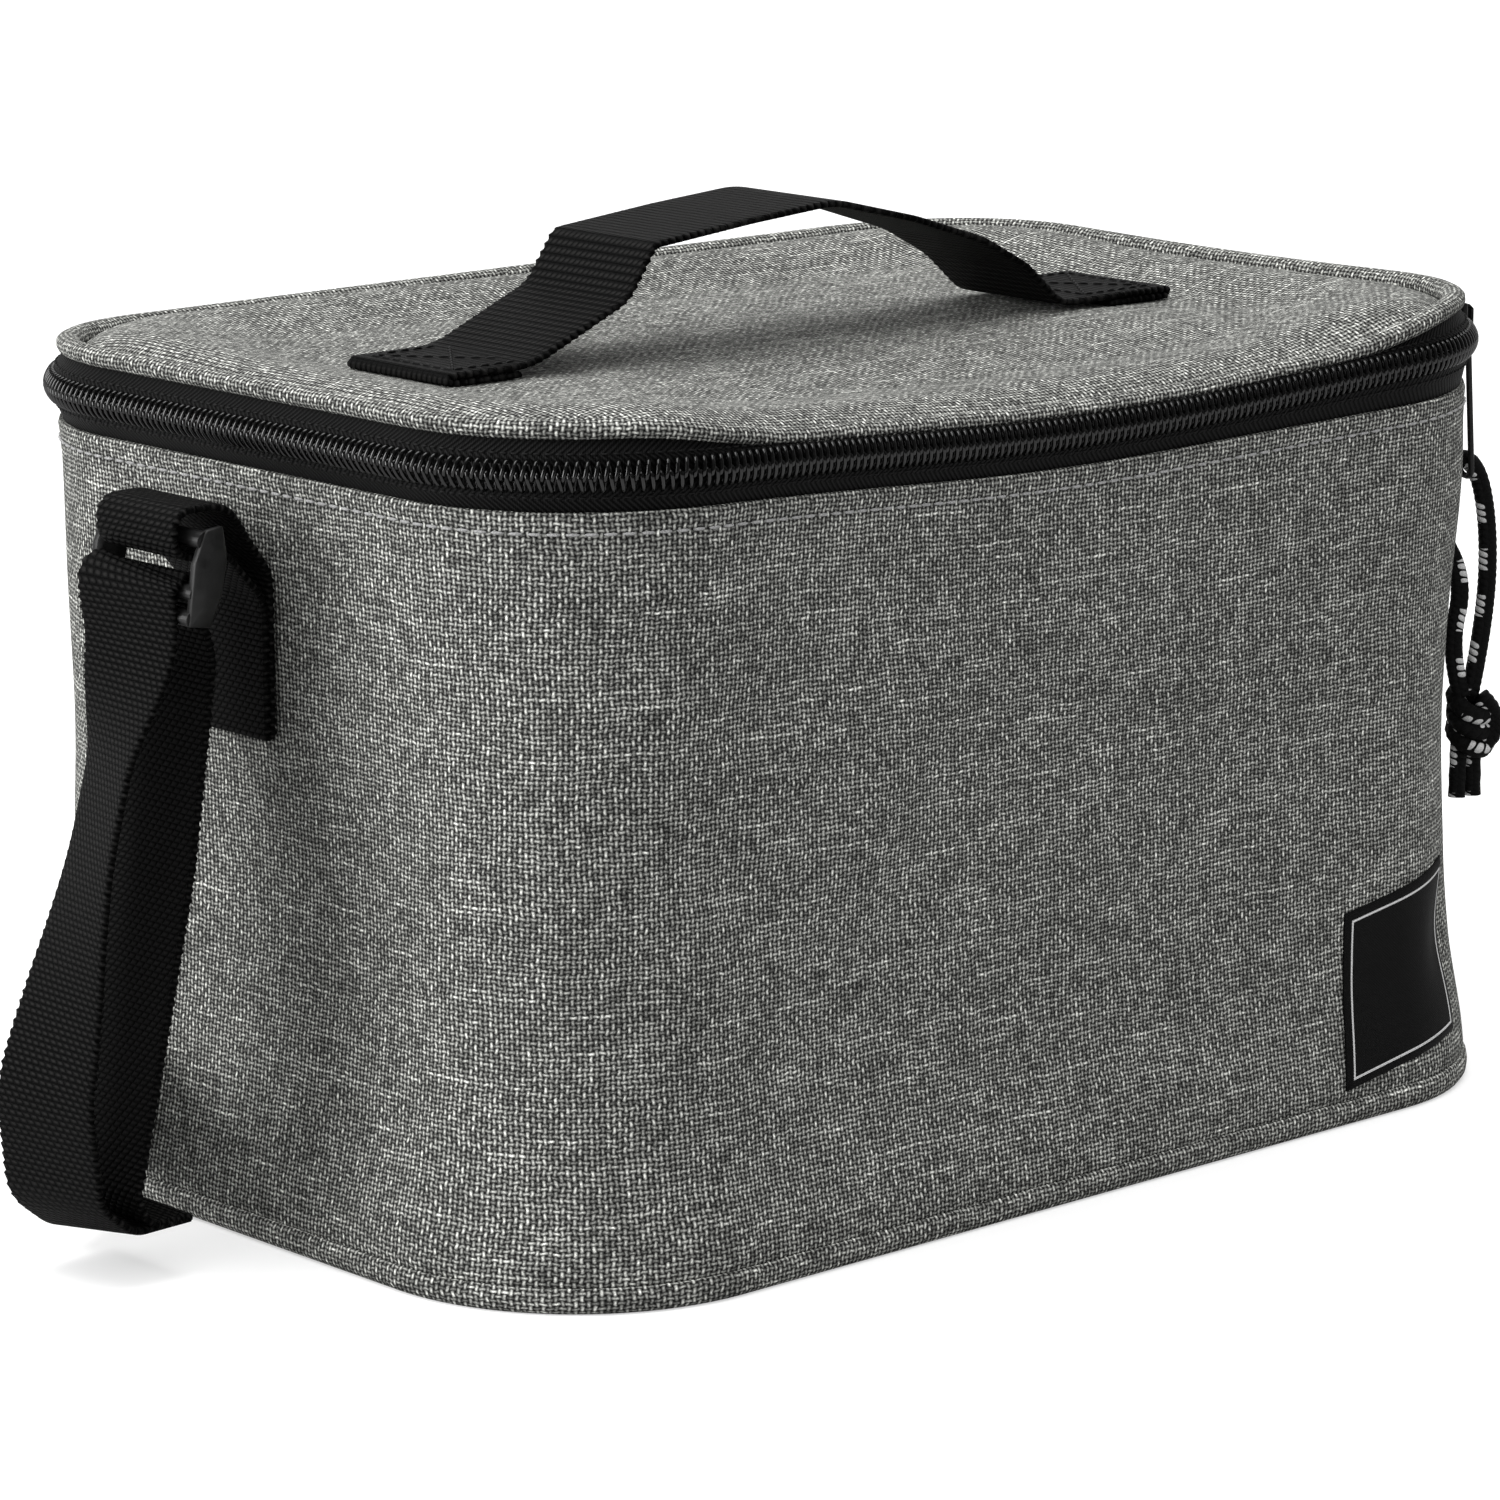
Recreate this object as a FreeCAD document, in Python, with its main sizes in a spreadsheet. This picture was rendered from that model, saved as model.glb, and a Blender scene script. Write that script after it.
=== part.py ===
import FreeCAD, Part
import math
import os
import Sketcher
from FreeCAD import Placement, Rotation, Vector

os.makedirs("parts", exist_ok=True)
doc = FreeCAD.newDocument("lunch_bag")

# Sizes in mm. A name with "off" is an outward offset from the wall's outer outline, seen from above.
# A name ending in "dz" is a height counted from the zipper's middle, and one ending in "dr" a distance
# from the front right corner's axis, counted from the wall's corner radius.
SIZES = {
    "bag_w": 264,
    "bag_d": 172,
    "bag_r": 41,
    # body layers, from the outside in
    "wall_off": 0,
    "wall_in_off": -1.2,
    "wall_z0": 1.6,
    "wall_z1_dz": -7,
    "lip_off": 4,
    "lip_in_off": 0.3,
    "panel_z0": 0,
    "panel_z1": 1.4,
    "lip_z1": 5.2,
    "lip_bevel_size": 1.2,
    "foam_off": -1.4,
    "foam_in_off": -5.4,
    "foam_z0": 6.8,
    "foam_z1_dz": -7.5,
    "base_z0": 1.6,
    "base_z1": 6.6,
    "liner_off": -5.6,
    "liner_in_off": -6.4,
    "liner_z0": 6.8,
    "liner_floor_z1": 7.6,
    "liner_z1_dz": -7.7,
    "bind_off": -1.6,
    "bind_skirt_off": -6.6,
    "bind_in_off": -8.2,
    "bind_z0_dz": -17.5,
    "bind_z1_dz": -7.3,
    "bind_z2_dz": -6.1,
    # zipper
    "tape_off": -0.3,
    "tape_in_off": -1.3,
    "tape_lo_z0_dz": -6.8,
    "tape_lo_z1_dz": -0.2,
    "tape_up_z0_dz": 0.2,
    "tape_up_z1_dz": 6.6,
    "coil_in_off": -0.1,
    "coil_off": 3,
    "zip_mid": 153.5,
    "chain_half": 3.4,
    "tooth_pitch": 2,
    "tooth_root": 1,
    "tooth_lap": 0.5,
    "zip_end_angle": 45,
    # lid
    "border_in_off": -2.6,
    "border_z0_dz": 6.8,
    "border_z1_dz": 9.5,
    "border_bevel_size": 1.1,
    "lid_in_off": -2.8,
    "lid_bind_in_off": -5.6,
    "lid_bind_z0_dz": 4.7,
    "lid_bind_z1_dz": 5.9,
    "lid_liner_off": -5.9,
    "lid_liner_in_off": -6.4,
    "lid_liner_z0_dz": 0.4,
    "lid_liner_floor_dz": 1,
    "lid_liner_z1_dz": 5.9,
    "dome_off_a": -2.8,
    "dome_off_b": -5.5,
    "dome_off_c": -26,
    "dome_z_a_dz": 6.2,
    "dome_z_b_dz": 7.7,
    "dome_z_c_dz": 8.6,
    "under_off_a": -4.2,
    "under_off_b": -6.4,
    "under_off_c": -27,
    "under_z_a_dz": 5.4,
    "under_z_b_dz": 6.6,
    "under_z_c_dz": 7.5,
    "fill_off_a": -6.7,
    "fill_off_b": -6.7,
    "fill_off_c": -27.4,
    "fill_z_a_dz": 1.2,
    "fill_z_b_dz": 6.2,
    "fill_z_c_dz": 7.2,
    # label, webbing and adjuster
    "label_w": 34,
    "label_h": 35,
    "label_t": 0.8,
    "label_inset": 46,
    "label_z": 30,
    "skin_gap": 0.3,
    "web_t": 1.3,
    "ply_gap": 0.1,
    "strap_w": 25,
    "handle_w": 30,
    "handle_inset": 36,
    "belt_z0": 8,
    "belt_z1": 33,
    "bar_out": 22,
    "bar_z_dz": -15.5,
    "bar_mid_z_dz": -25,
    "bar_low_z_dz": -29.5,
    "bar_r": 1.6,
    "rail_in": 13.2,
    "rail_out": 16.6,
    "rail_half_t": 2.2,
    "rail_over": 2.1,
    "anchor_loop_r": 3.6,
    "anchor_z0_dz": -56.5,
    "strap_wrap_r": 2.6,
    # zipper pull, measured out from the front right corner's axis
    "slider_angle": 18,
    "slider_len": 12,
    "plate_half_h": 4.4,
    "plate_in_dr": 3.4,
    "plate_out_dr": 5,
    "back_in_dr": -3.4,
    "back_out_dr": -2.2,
    "lip_reach_dr": 1.6,
    "lip_t": 0.7,
    "post_len": 3,
    "post_h": 3.4,
    "bridge_in_half": 1.9,
    "bridge_out_half": 3.1,
    "bridge_len": 4,
    "bridge_hole_out_dr": 8.2,
    "bridge_out_dr": 9.3,
    "wire_d": 1.8,
    "wire_at_dr": 6.6,
    "wire_top_w": 9,
    "wire_low_w": 7,
    "wire_low_z_dz": -40.5,
    "wire_bend": 2.2,
    "cord_d": 4,
    "cord_fold_r": 4,
    "cord_sag": 0.8,
    "knot_z_dz": -90.5,
    "knot_r": 6,
    "knot_half_h": 7.5,
    "knot_bevel_size": 1.5,
    "tail_end_z_dz": -104.5,
}
sheet = doc.addObject("Spreadsheet::Sheet", "sheet")
for row, (name, value) in enumerate(SIZES.items(), start=1):
    sheet.set(f"A{row}", name)
    sheet.set(f"B{row}", str(value))
    sheet.setAlias(f"B{row}", name)
doc.recompute()


def size(name):
    return float(sheet.get(name))


def formula(name):
    """A height as the sheet gives it, from the zipper's middle or from the floor."""
    return f"sheet.zip_mid + sheet.{name}" if name.endswith("_dz") else f"sheet.{name}"


def height(name):
    return size(name) + (size("zip_mid") if name.endswith("_dz") else 0)


def from_axis(name):
    return f"sheet.bag_r + sheet.{name}"


def reach_of(name):
    return size("bag_r") + size(name)


nodes = []


def keep(obj, name):
    """Names a finished object as one sub-part of the assembly."""
    obj.Label = name
    nodes.append((obj, name))
    return obj


def new_sketch(body, role, name, lift=None):
    plane = next(f for f in body.Origin.OriginFeatures if f.Role == role)
    sketch = body.newObject("Sketcher::SketchObject", name)
    sketch.AttachmentSupport = [(plane, "")]
    sketch.MapMode = "FlatFace"
    if lift:
        sketch.setExpression("AttachmentOffset.Base.z", lift)
    return sketch


def new_pad(body, sketch, name, length, both_ways=False):
    pad = body.newObject("PartDesign::Pad", name)
    pad.Profile = sketch
    if both_ways:
        pad.SideType = "Symmetric"
    pad.setExpression("Length", length)
    sketch.Visibility = False
    doc.recompute()
    return pad


def new_pocket(body, sketch, name, length):
    pocket = body.newObject("PartDesign::Pocket", name)
    pocket.Profile = sketch
    pocket.SideType = "Symmetric"
    pocket.setExpression("Length", length)
    sketch.Visibility = False
    doc.recompute()
    return pocket


def rounded_outline(sketch, off):
    """A rounded rectangle round the origin, offset from the wall's outline by a named size."""
    w = size("bag_w") / 2 + size(off)
    d = size("bag_d") / 2 + size(off)
    r = size("bag_r") + size(off)
    cx = w - r
    cy = d - r
    first = sketch.GeometryCount
    lines = [((-cx, -d), (cx, -d)), ((w, -cy), (w, cy)), ((cx, d), (-cx, d)), ((-w, cy), (-w, -cy))]
    centres = [(cx, -cy, -90), (cx, cy, 0), (-cx, cy, 90), (-cx, -cy, 180)]
    for (a, b), (x, y, start) in zip(lines, centres):
        sketch.addGeometry(Part.LineSegment(Vector(*a, 0), Vector(*b, 0)), False)
        circle = Part.Circle(Vector(x, y, 0), Vector(0, 0, 1), r)
        arc = Part.ArcOfCircle(circle, math.radians(start), math.radians(start + 90))
        sketch.addGeometry(arc, False)
    for k in range(4):
        line = first + 2 * k
        arc = line + 1
        after = first + (2 * k + 2) % 8
        sketch.addConstraint(Sketcher.Constraint("Tangent", line, 2, arc, 1))
        sketch.addConstraint(Sketcher.Constraint("Tangent", arc, 2, after, 1))
        sketch.addConstraint(Sketcher.Constraint("Vertical" if k % 2 else "Horizontal", line))
    for k in (3, 5, 7):
        sketch.addConstraint(Sketcher.Constraint("Equal", first + 1, first + k))
    sketch.addConstraint(Sketcher.Constraint("Symmetric", first + 1, 3, first + 5, 3, -1, 1))
    radius = Sketcher.Constraint("Radius", first + 1, r)
    width = Sketcher.Constraint("DistanceX", first, 1, first, 2, 2 * cx)
    depth = Sketcher.Constraint("DistanceY", first + 2, 1, first + 2, 2, 2 * cy)
    bind(sketch, radius, f"radius_{off}", f"sheet.bag_r + sheet.{off}")
    bind(sketch, width, f"width_{off}", "sheet.bag_w - 2 * sheet.bag_r")
    bind(sketch, depth, f"depth_{off}", "sheet.bag_d - 2 * sheet.bag_r")


def bind(sketch, constraint, name, formula):
    i = sketch.addConstraint(constraint)
    sketch.renameConstraint(i, name)
    sketch.setExpression(f"Constraints.{name}", formula)


def pad_rings(name, rings):
    """A body of stacked pads, each from an outer outline to an inner one (or none) between two heights."""
    body = doc.addObject("PartDesign::Body", name)
    for k, (outer, inner, low, high) in enumerate(rings):
        sketch = new_sketch(body, "XY_Plane", f"{name}_outline_{k}", formula(low))
        rounded_outline(sketch, outer)
        if inner:
            rounded_outline(sketch, inner)
        new_pad(body, sketch, f"{name}_pad_{k}", f"{formula(high)} - ({formula(low)})")
    return body


def bevel_edges(body, name, amount, chosen):
    """Bevels the edges of the body's tip for which chosen(edge) is true."""
    tip = body.Tip
    edges = [f"Edge{i}" for i, e in enumerate(tip.Shape.Edges, start=1) if chosen(e)]
    bevel = body.newObject("PartDesign::Chamfer", name)
    bevel.Base = (tip, edges)
    bevel.setExpression("Size", f"sheet.{amount}")
    doc.recompute()
    return body


def on_rim(edge, z, off):
    """Whether an edge lies at a height on the outline with that offset."""
    box = edge.BoundBox
    if abs(box.ZMin - z) > 1e-4 or abs(box.ZMax - z) > 1e-4:
        return False
    p = edge.valueAt((edge.FirstParameter + edge.LastParameter) / 2)
    x = abs(p.x) - size("bag_w") / 2 + size("bag_r")
    y = abs(p.y) - size("bag_d") / 2 + size("bag_r")
    return abs(math.hypot(max(x, 0), max(y, 0)) - size("bag_r") - off) < 0.05


def strip_geometry(points, thickness):
    """Lines and arcs round a strip of webbing seen edge on. Each point is x, y and the bend's radius there."""
    half = thickness / 2
    path = [("line", Vector(*points[0][:2], 0), None, 0)]
    for before, here, after in zip(points, points[1:], points[2:]):
        p = Vector(*here[:2], 0)
        d1 = (p - Vector(*before[:2], 0)).normalize()
        d2 = (Vector(*after[:2], 0) - p).normalize()
        turn = math.atan2(d1.x * d2.y - d1.y * d2.x, d1.dot(d2))
        reach = here[2] * math.tan(abs(turn) / 2)
        side = math.copysign(1, turn)
        centre = p - d1 * reach + Vector(-d1.y, d1.x, 0) * (side * here[2])
        path.append(("arc", p - d1 * reach, (p + d2 * reach, centre, here[2]), side))
    path.append(("line", Vector(*points[-1][:2], 0), None, 0))
    edges = []
    for way in (1, -1):
        chain = []
        spot = path[0][1]
        for kind, start, bend, side in path[1:]:
            if (start - spot).Length > 1e-6:
                d = (start - spot).normalize()
                shift = Vector(-d.y, d.x, 0) * (way * half)
                chain.append(Part.LineSegment(spot + shift, start + shift))
            spot = start
            if kind == "arc":
                stop, centre, radius = bend
                r = radius - way * side * half
                a = (start - centre).normalize()
                b = (stop - centre).normalize()
                middle = (a + b).normalize()
                chain.append(Part.Arc(centre + a * r, centre + middle * r, centre + b * r))
                spot = stop
        edges.append(chain)
    ends = [[(c.StartPoint, c.EndPoint) for c in chain] for chain in edges]
    caps = [
        Part.LineSegment(ends[0][0][0], ends[1][0][0]),
        Part.LineSegment(ends[0][-1][1], ends[1][-1][1]),
    ]
    return edges[0] + edges[1] + caps


def strip_body(name, points, width):
    """A strip of webbing whose edge view lies in the XZ plane, padded both ways along Y."""
    body = doc.addObject("PartDesign::Body", name)
    sketch = new_sketch(body, "XZ_Plane", f"{name}_edge")
    sketch.addGeometry(strip_geometry(points, size("web_t")), False)
    new_pad(body, sketch, f"{name}_pad", f"sheet.{width}", both_ways=True)
    return body


def polygon(sketch, points):
    for a, b in zip(points, points[1:] + points[:1]):
        sketch.addGeometry(Part.LineSegment(Vector(*a, 0), Vector(*b, 0)), False)


def eight_sides(start, along, diameter):
    """An eight-sided outline round a line through start, for cord and wire."""
    turn = Rotation(Vector(0, 0, 1), along)
    angles = [math.radians(22.5 + 45 * k) for k in range(8)]
    spots = [start + turn.multVec(Vector(math.cos(a), math.sin(a), 0)) * (diameter / 2) for a in angles]
    return Part.makePolygon(spots + spots[:1])


def tube(points, diameter, closed=False):
    """An eight-sided tube along straight runs and tangent arcs. Each point is a position and the bend's radius."""
    if closed:
        start = (points[0][0] + points[-1][0]) / 2
        points = [(start, 0)] + points + [(start, 0)]
    edges = []
    spot = points[0][0]
    for before, here, after in zip(points, points[1:], points[2:]):
        p, radius = here
        d1 = (p - before[0]).normalize()
        d2 = (after[0] - p).normalize()
        turn = d1.getAngle(d2)
        reach = radius * math.tan(turn / 2)
        a = p - d1 * reach
        b = p + d2 * reach
        middle = p + (d2 - d1).normalize() * (radius / math.cos(turn / 2) - radius)
        if (a - spot).Length > 1e-6:
            edges.append(Part.LineSegment(spot, a).toShape())
        edges.append(Part.Arc(a, middle, b).toShape())
        spot = b
    edges.append(Part.LineSegment(spot, points[-1][0]).toShape())
    spine = Part.Wire(edges)
    start = edges[0].valueAt(edges[0].FirstParameter)
    along = edges[0].tangentAt(edges[0].FirstParameter)
    print(f"tube length {spine.Length:.2f}")
    return spine.makePipeShell([eight_sides(start, along, diameter)], True, True)


def plain(name, shape, placement=None):
    obj = doc.addObject("Part::Feature", name)
    obj.Shape = shape
    if placement:
        obj.Placement = placement
    return keep(obj, name)


# Body of the bag
keep(pad_rings("outer_wall", [("wall_off", "wall_in_off", "wall_z0", "wall_z1_dz")]), "outer_wall")
bottom = pad_rings(
    "bottom_panel",
    [("lip_off", None, "panel_z0", "panel_z1"), ("lip_off", "lip_in_off", "panel_z1", "lip_z1")],
)
lip_off = size("lip_off")
lip_heights = (size("panel_z0"), size("lip_z1"))
bevel_edges(bottom, "lip_bevel", "lip_bevel_size", lambda e: any(on_rim(e, z, lip_off) for z in lip_heights))
keep(bottom, "bottom_panel")
keep(pad_rings("wall_foam", [("foam_off", "foam_in_off", "foam_z0", "foam_z1_dz")]), "wall_foam")
keep(pad_rings("base_foam", [("foam_off", None, "base_z0", "base_z1")]), "base_foam")
liner = [
    ("liner_off", None, "liner_z0", "liner_floor_z1"),
    ("liner_off", "liner_in_off", "liner_floor_z1", "liner_z1_dz"),
]
keep(pad_rings("foil_liner", liner), "foil_liner")
binding = [
    ("bind_skirt_off", "bind_in_off", "bind_z0_dz", "bind_z1_dz"),
    ("bind_off", "bind_in_off", "bind_z1_dz", "bind_z2_dz"),
]
keep(pad_rings("mouth_binding", binding), "mouth_binding")

# Lid
border = pad_rings("lid_border", [("wall_off", "border_in_off", "border_z0_dz", "border_z1_dz")])
top = height("border_z1_dz")
inner = size("border_in_off")
bevel_edges(border, "border_bevel", "border_bevel_size", lambda e: on_rim(e, top, 0) or on_rim(e, top, inner))
keep(border, "lid_border")
keep(pad_rings("lid_binding", [("lid_in_off", "lid_bind_in_off", "lid_bind_z0_dz", "lid_bind_z1_dz")]), "lid_binding")
tray = [
    ("lid_liner_off", None, "lid_liner_z0_dz", "lid_liner_floor_dz"),
    ("lid_liner_off", "lid_liner_in_off", "lid_liner_floor_dz", "lid_liner_z1_dz"),
]
keep(pad_rings("lid_liner", tray), "lid_liner")


def dome(kind):
    """A crowned block through three outlines, each higher than the last."""
    sections = []
    for step in "abc":
        sketch = doc.addObject("Sketcher::SketchObject", f"{kind}_outline_{step}")
        rounded_outline(sketch, f"{kind}_off_{step}")
        sketch.setExpression("Placement.Base.z", formula(f"{kind}_z_{step}_dz"))
        sections.append(sketch)
    loft = doc.addObject("Part::Loft", f"{kind}_loft")
    loft.Sections = sections
    loft.Solid = True
    loft.Ruled = True
    doc.recompute()
    return loft


top_panel = doc.addObject("Part::Cut", "lid_top_panel")
top_panel.Base = dome("dome")
top_panel.Tool = dome("under")
keep(top_panel, "lid_top_panel")
keep(dome("fill"), "lid_foam")

# Zipper tapes, and the fabric hinge that closes the back between the zipper's ends
centre_x = size("bag_w") / 2 - size("bag_r")
centre_y = size("bag_d") / 2 - size("bag_r")
end_angle = math.radians(size("zip_end_angle"))
far = 3 * size("bag_r")
wedge = [
    (-centre_x, centre_y),
    (centre_x, centre_y),
    (centre_x + far * math.cos(end_angle), centre_y + far * math.sin(end_angle)),
    (-centre_x - far * math.cos(end_angle), centre_y + far * math.sin(end_angle)),
]


def back_wedge(name, inset):
    """A block over the back of the bag, whose two sides cross the rear corners at the zipper's ends."""
    sketch = doc.addObject("Sketcher::SketchObject", f"{name}_outline")
    dx = inset * math.sin(end_angle)
    dy = inset * math.cos(end_angle)
    polygon(sketch, [(x - math.copysign(dx, x), y + dy) for x, y in wedge])
    block = doc.addObject("Part::Extrusion", name)
    block.Base = sketch
    block.DirMode = "Normal"
    block.LengthFwd = height("border_z1_dz")
    block.Solid = True
    doc.recompute()
    return block


slider_turn = Rotation(Vector(0, 0, 1), -size("slider_angle"))
pull_frame = Placement(Vector(centre_x, -centre_y, 0), slider_turn)
gap = size("skin_gap")
post_y0 = -size("slider_len") / 2 - gap
post_y1 = -size("slider_len") / 2 + size("post_len") + gap


def post_clearance(name):
    """The room that the slider's post takes where the two halves part round it."""
    box = doc.addObject("Part::Box", name)
    box.Length = 20
    box.setExpression("Width", "sheet.post_len + 2 * sheet.skin_gap")
    box.setExpression("Height", "sheet.post_h + 2 * sheet.skin_gap")
    z = size("zip_mid") - size("post_h") / 2 - gap
    box.Placement = pull_frame.multiply(Placement(Vector(reach_of("back_in_dr"), post_y0, z), Rotation()))
    return box


for half in ("lo", "up"):
    ring = pad_rings(f"tape_{half}_ring", [("tape_off", "tape_in_off", f"tape_{half}_z0_dz", f"tape_{half}_z1_dz")])
    open_ring = doc.addObject("Part::Cut", f"tape_{half}_open")
    open_ring.Base = ring
    open_ring.Tool = back_wedge(f"tape_{half}_back", 0)
    notched = doc.addObject("Part::Cut", f"tape_{half}_notched")
    notched.Base = open_ring
    notched.Tool = post_clearance(f"tape_{half}_post")
    keep(notched, "zipper_tape_lower" if half == "lo" else "zipper_tape_upper")
hinge = doc.addObject("Part::Common", "hinge_panel")
hinge.Base = pad_rings("hinge_ring", [("tape_off", "tape_in_off", "tape_lo_z0_dz", "tape_up_z1_dz")])
hinge.Tool = back_wedge("hinge_back", gap)
keep(hinge, "hinge_panel")
doc.recompute()

# Zipper coil: two toothed rows that mesh, each in straight and curved lengths
coil_in = size("bag_r") + size("coil_in_off")
coil_out = size("bag_r") + size("coil_off")
pitch = size("tooth_pitch")
mid = size("zip_mid")


def row_profile(length, upper):
    """Height of a row's straight edge, and the points of its toothed edge along the row."""
    way = 1 if upper else -1
    root = mid + way * size("tooth_root")
    tip = mid - way * size("tooth_lap")
    early, late = (root, tip) if upper else (tip, root)
    count = int(length / pitch)
    start = (length - count * pitch) / 2
    edge = [(0, root)]
    for k in range(count):
        edge += [(start + (k + 0.25) * pitch, early), (start + (k + 0.75) * pitch, late)]
    return mid + way * size("chain_half"), edge + [(length, root)]


def face(*points):
    return Part.Face(Part.makePolygon([*points, points[0]]))


def straight_row(start, stop, outward, upper):
    """A toothed row between two points on the wall's outline."""
    length = (stop - start).Length
    along = (stop - start).normalize()
    outer, edge = row_profile(length, upper)
    origin = start + outward * size("coil_in_off")
    profile = [(0, outer), *edge, (length, outer)]
    return face(*[origin + along * s + Vector(0, 0, z) for s, z in profile]).extrude(outward * (coil_out - coil_in))


def curved_row(centre, start, stop, upper):
    """A toothed row round a corner, between two angles, in flat faces."""
    radius = (coil_in + coil_out) / 2
    length = math.radians(stop - start) * radius
    outer, edge = row_profile(length, upper)

    def spot(r, s, z):
        a = math.radians(start) + s / radius
        return centre + Vector(r * math.cos(a), r * math.sin(a), z)

    faces = []
    for (s0, z0), (s1, z1) in zip(edge, edge[1:]):
        for r in (coil_in, coil_out):
            faces.append(face(spot(r, s0, outer), spot(r, s1, outer), spot(r, s1, z1), spot(r, s0, z0)))
        faces.append(face(spot(coil_in, s0, z0), spot(coil_out, s0, z0), spot(coil_out, s1, z1)))
        faces.append(face(spot(coil_in, s0, z0), spot(coil_out, s1, z1), spot(coil_in, s1, z1)))
    for s, z in (edge[0], edge[-1]):
        faces.append(face(spot(coil_in, s, outer), spot(coil_out, s, outer), spot(coil_out, s, z), spot(coil_in, s, z)))
    base = [spot(coil_in, s, outer) for s, _ in edge] + [spot(coil_out, s, outer) for s, _ in reversed(edge)]
    faces.append(face(*base))
    shell = Part.makeShell(faces)
    shell.sewShape()
    solid = Part.makeSolid(shell)
    if solid.Volume < 0:
        solid.reverse()
    return solid


half_w = size("bag_w") / 2
half_d = size("bag_d") / 2
corner = {
    "rear_left": Vector(-centre_x, centre_y, 0),
    "front_left": Vector(-centre_x, -centre_y, 0),
    "front_right": Vector(centre_x, -centre_y, 0),
    "rear_right": Vector(centre_x, centre_y, 0),
}
post_a0 = -size("slider_angle") + math.degrees(math.atan2(post_y0, coil_in))
post_a1 = -size("slider_angle") + math.degrees(math.atan2(post_y1, coil_out))
end = size("zip_end_angle")
for upper in (False, True):
    rows = [
        curved_row(corner["rear_left"], 180 - end, 180, upper),
        straight_row(Vector(-half_w, centre_y, 0), Vector(-half_w, -centre_y, 0), Vector(-1, 0, 0), upper),
        curved_row(corner["front_left"], 180, 270, upper),
        straight_row(Vector(-centre_x, -half_d, 0), Vector(centre_x, -half_d, 0), Vector(0, -1, 0), upper),
        curved_row(corner["front_right"], -90, post_a0, upper),
        curved_row(corner["front_right"], post_a1, 0, upper),
        straight_row(Vector(half_w, -centre_y, 0), Vector(half_w, centre_y, 0), Vector(1, 0, 0), upper),
        curved_row(corner["rear_right"], 0, end, upper),
    ]
    plain("zipper_coil_upper" if upper else "zipper_coil_lower", Part.makeCompound(rows))

# Woven label, left bare
label = doc.addObject("PartDesign::Body", "front_label")
sketch = new_sketch(label, "XZ_Plane", "label_outline", "sheet.bag_d / 2 + sheet.skin_gap")
w = size("label_w") / 2
h = size("label_h") / 2
x = half_w - size("label_inset")
z = size("label_z")
polygon(sketch, [(x - w, z - h), (x + w, z - h), (x + w, z + h), (x - w, z + h)])
new_pad(label, sketch, "label_pad", "sheet.label_t")
keep(label, "front_label")

# Webbing: strap anchor, shoulder strap and carry handle
web = size("web_t")
ply = web + size("ply_gap")
inner_ply = half_w + gap + web / 2
outer_ply = inner_ply + ply
bar_x = -half_w - size("bar_out")
bar_z = height("bar_z_dz")
loop = size("anchor_loop_r")
anchor_path = [
    (-outer_ply, height("anchor_z0_dz"), 0),
    (-outer_ply, bar_z - 14.5, 8),
    (bar_x + 8, bar_z - loop, 8),
    (bar_x - loop, bar_z - loop, loop),
    (bar_x - loop, bar_z + loop, loop),
    (bar_x + 9, bar_z + loop, 10),
    (-inner_ply, bar_z - 9.5, 8),
    (-inner_ply, height("anchor_z0_dz"), 0),
]
keep(strip_body("strap_anchor", anchor_path, "strap_w"), "strap_anchor")

belt_z0 = size("belt_z0")
belt_z1 = size("belt_z1")
half_strap = size("strap_w") / 2
wrap = size("strap_wrap_r")
roll_z = height("bar_mid_z_dz") + wrap
low_bar_z = height("bar_low_z_dz")
run_x = bar_x - 11
tail_path = [
    (run_x, belt_z1, 0),
    (run_x, belt_z1 + 9, 60),
    (bar_x + wrap, low_bar_z - 12, 20),
    (bar_x + wrap, roll_z, wrap),
    (bar_x - wrap, roll_z, wrap),
    (bar_x - wrap, low_bar_z - 6, 20),
    (bar_x - 11.5, low_bar_z - 30, 60),
    (bar_x - 27.5, 36, 30),
    (bar_x - 24.5, 13, 14),
    (bar_x - 9, 2.6, 10),
    (bar_x + 9, 2.6, 0),
]
riser_top = bar_z - 33.5
riser_path = [
    (outer_ply, belt_z1, 0),
    (outer_ply, riser_top, ply / 2),
    (inner_ply, riser_top, ply / 2),
    (inner_ply, riser_top - 20, 0),
]


def add_fold(body, name, low):
    """The 45 degree fold where an upright run turns into the run round the back."""
    fold = [(-half_strap, belt_z1), (half_strap, belt_z0), (half_strap, belt_z1)]
    sketch = new_sketch(body, "YZ_Plane", f"{name}_flap", f"{low[0]}")
    polygon(sketch, fold)
    new_pad(body, sketch, f"{name}_flap_pad", "sheet.web_t")
    crease = [
        (-half_strap, belt_z1),
        (half_strap, belt_z0),
        (half_strap, belt_z0 + web),
        (-half_strap + web, belt_z1),
    ]
    sketch = new_sketch(body, "YZ_Plane", f"{name}_crease", f"{low[1]}")
    polygon(sketch, crease)
    new_pad(body, sketch, f"{name}_crease_pad", "2 * sheet.web_t + sheet.ply_gap")
    return body


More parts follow.
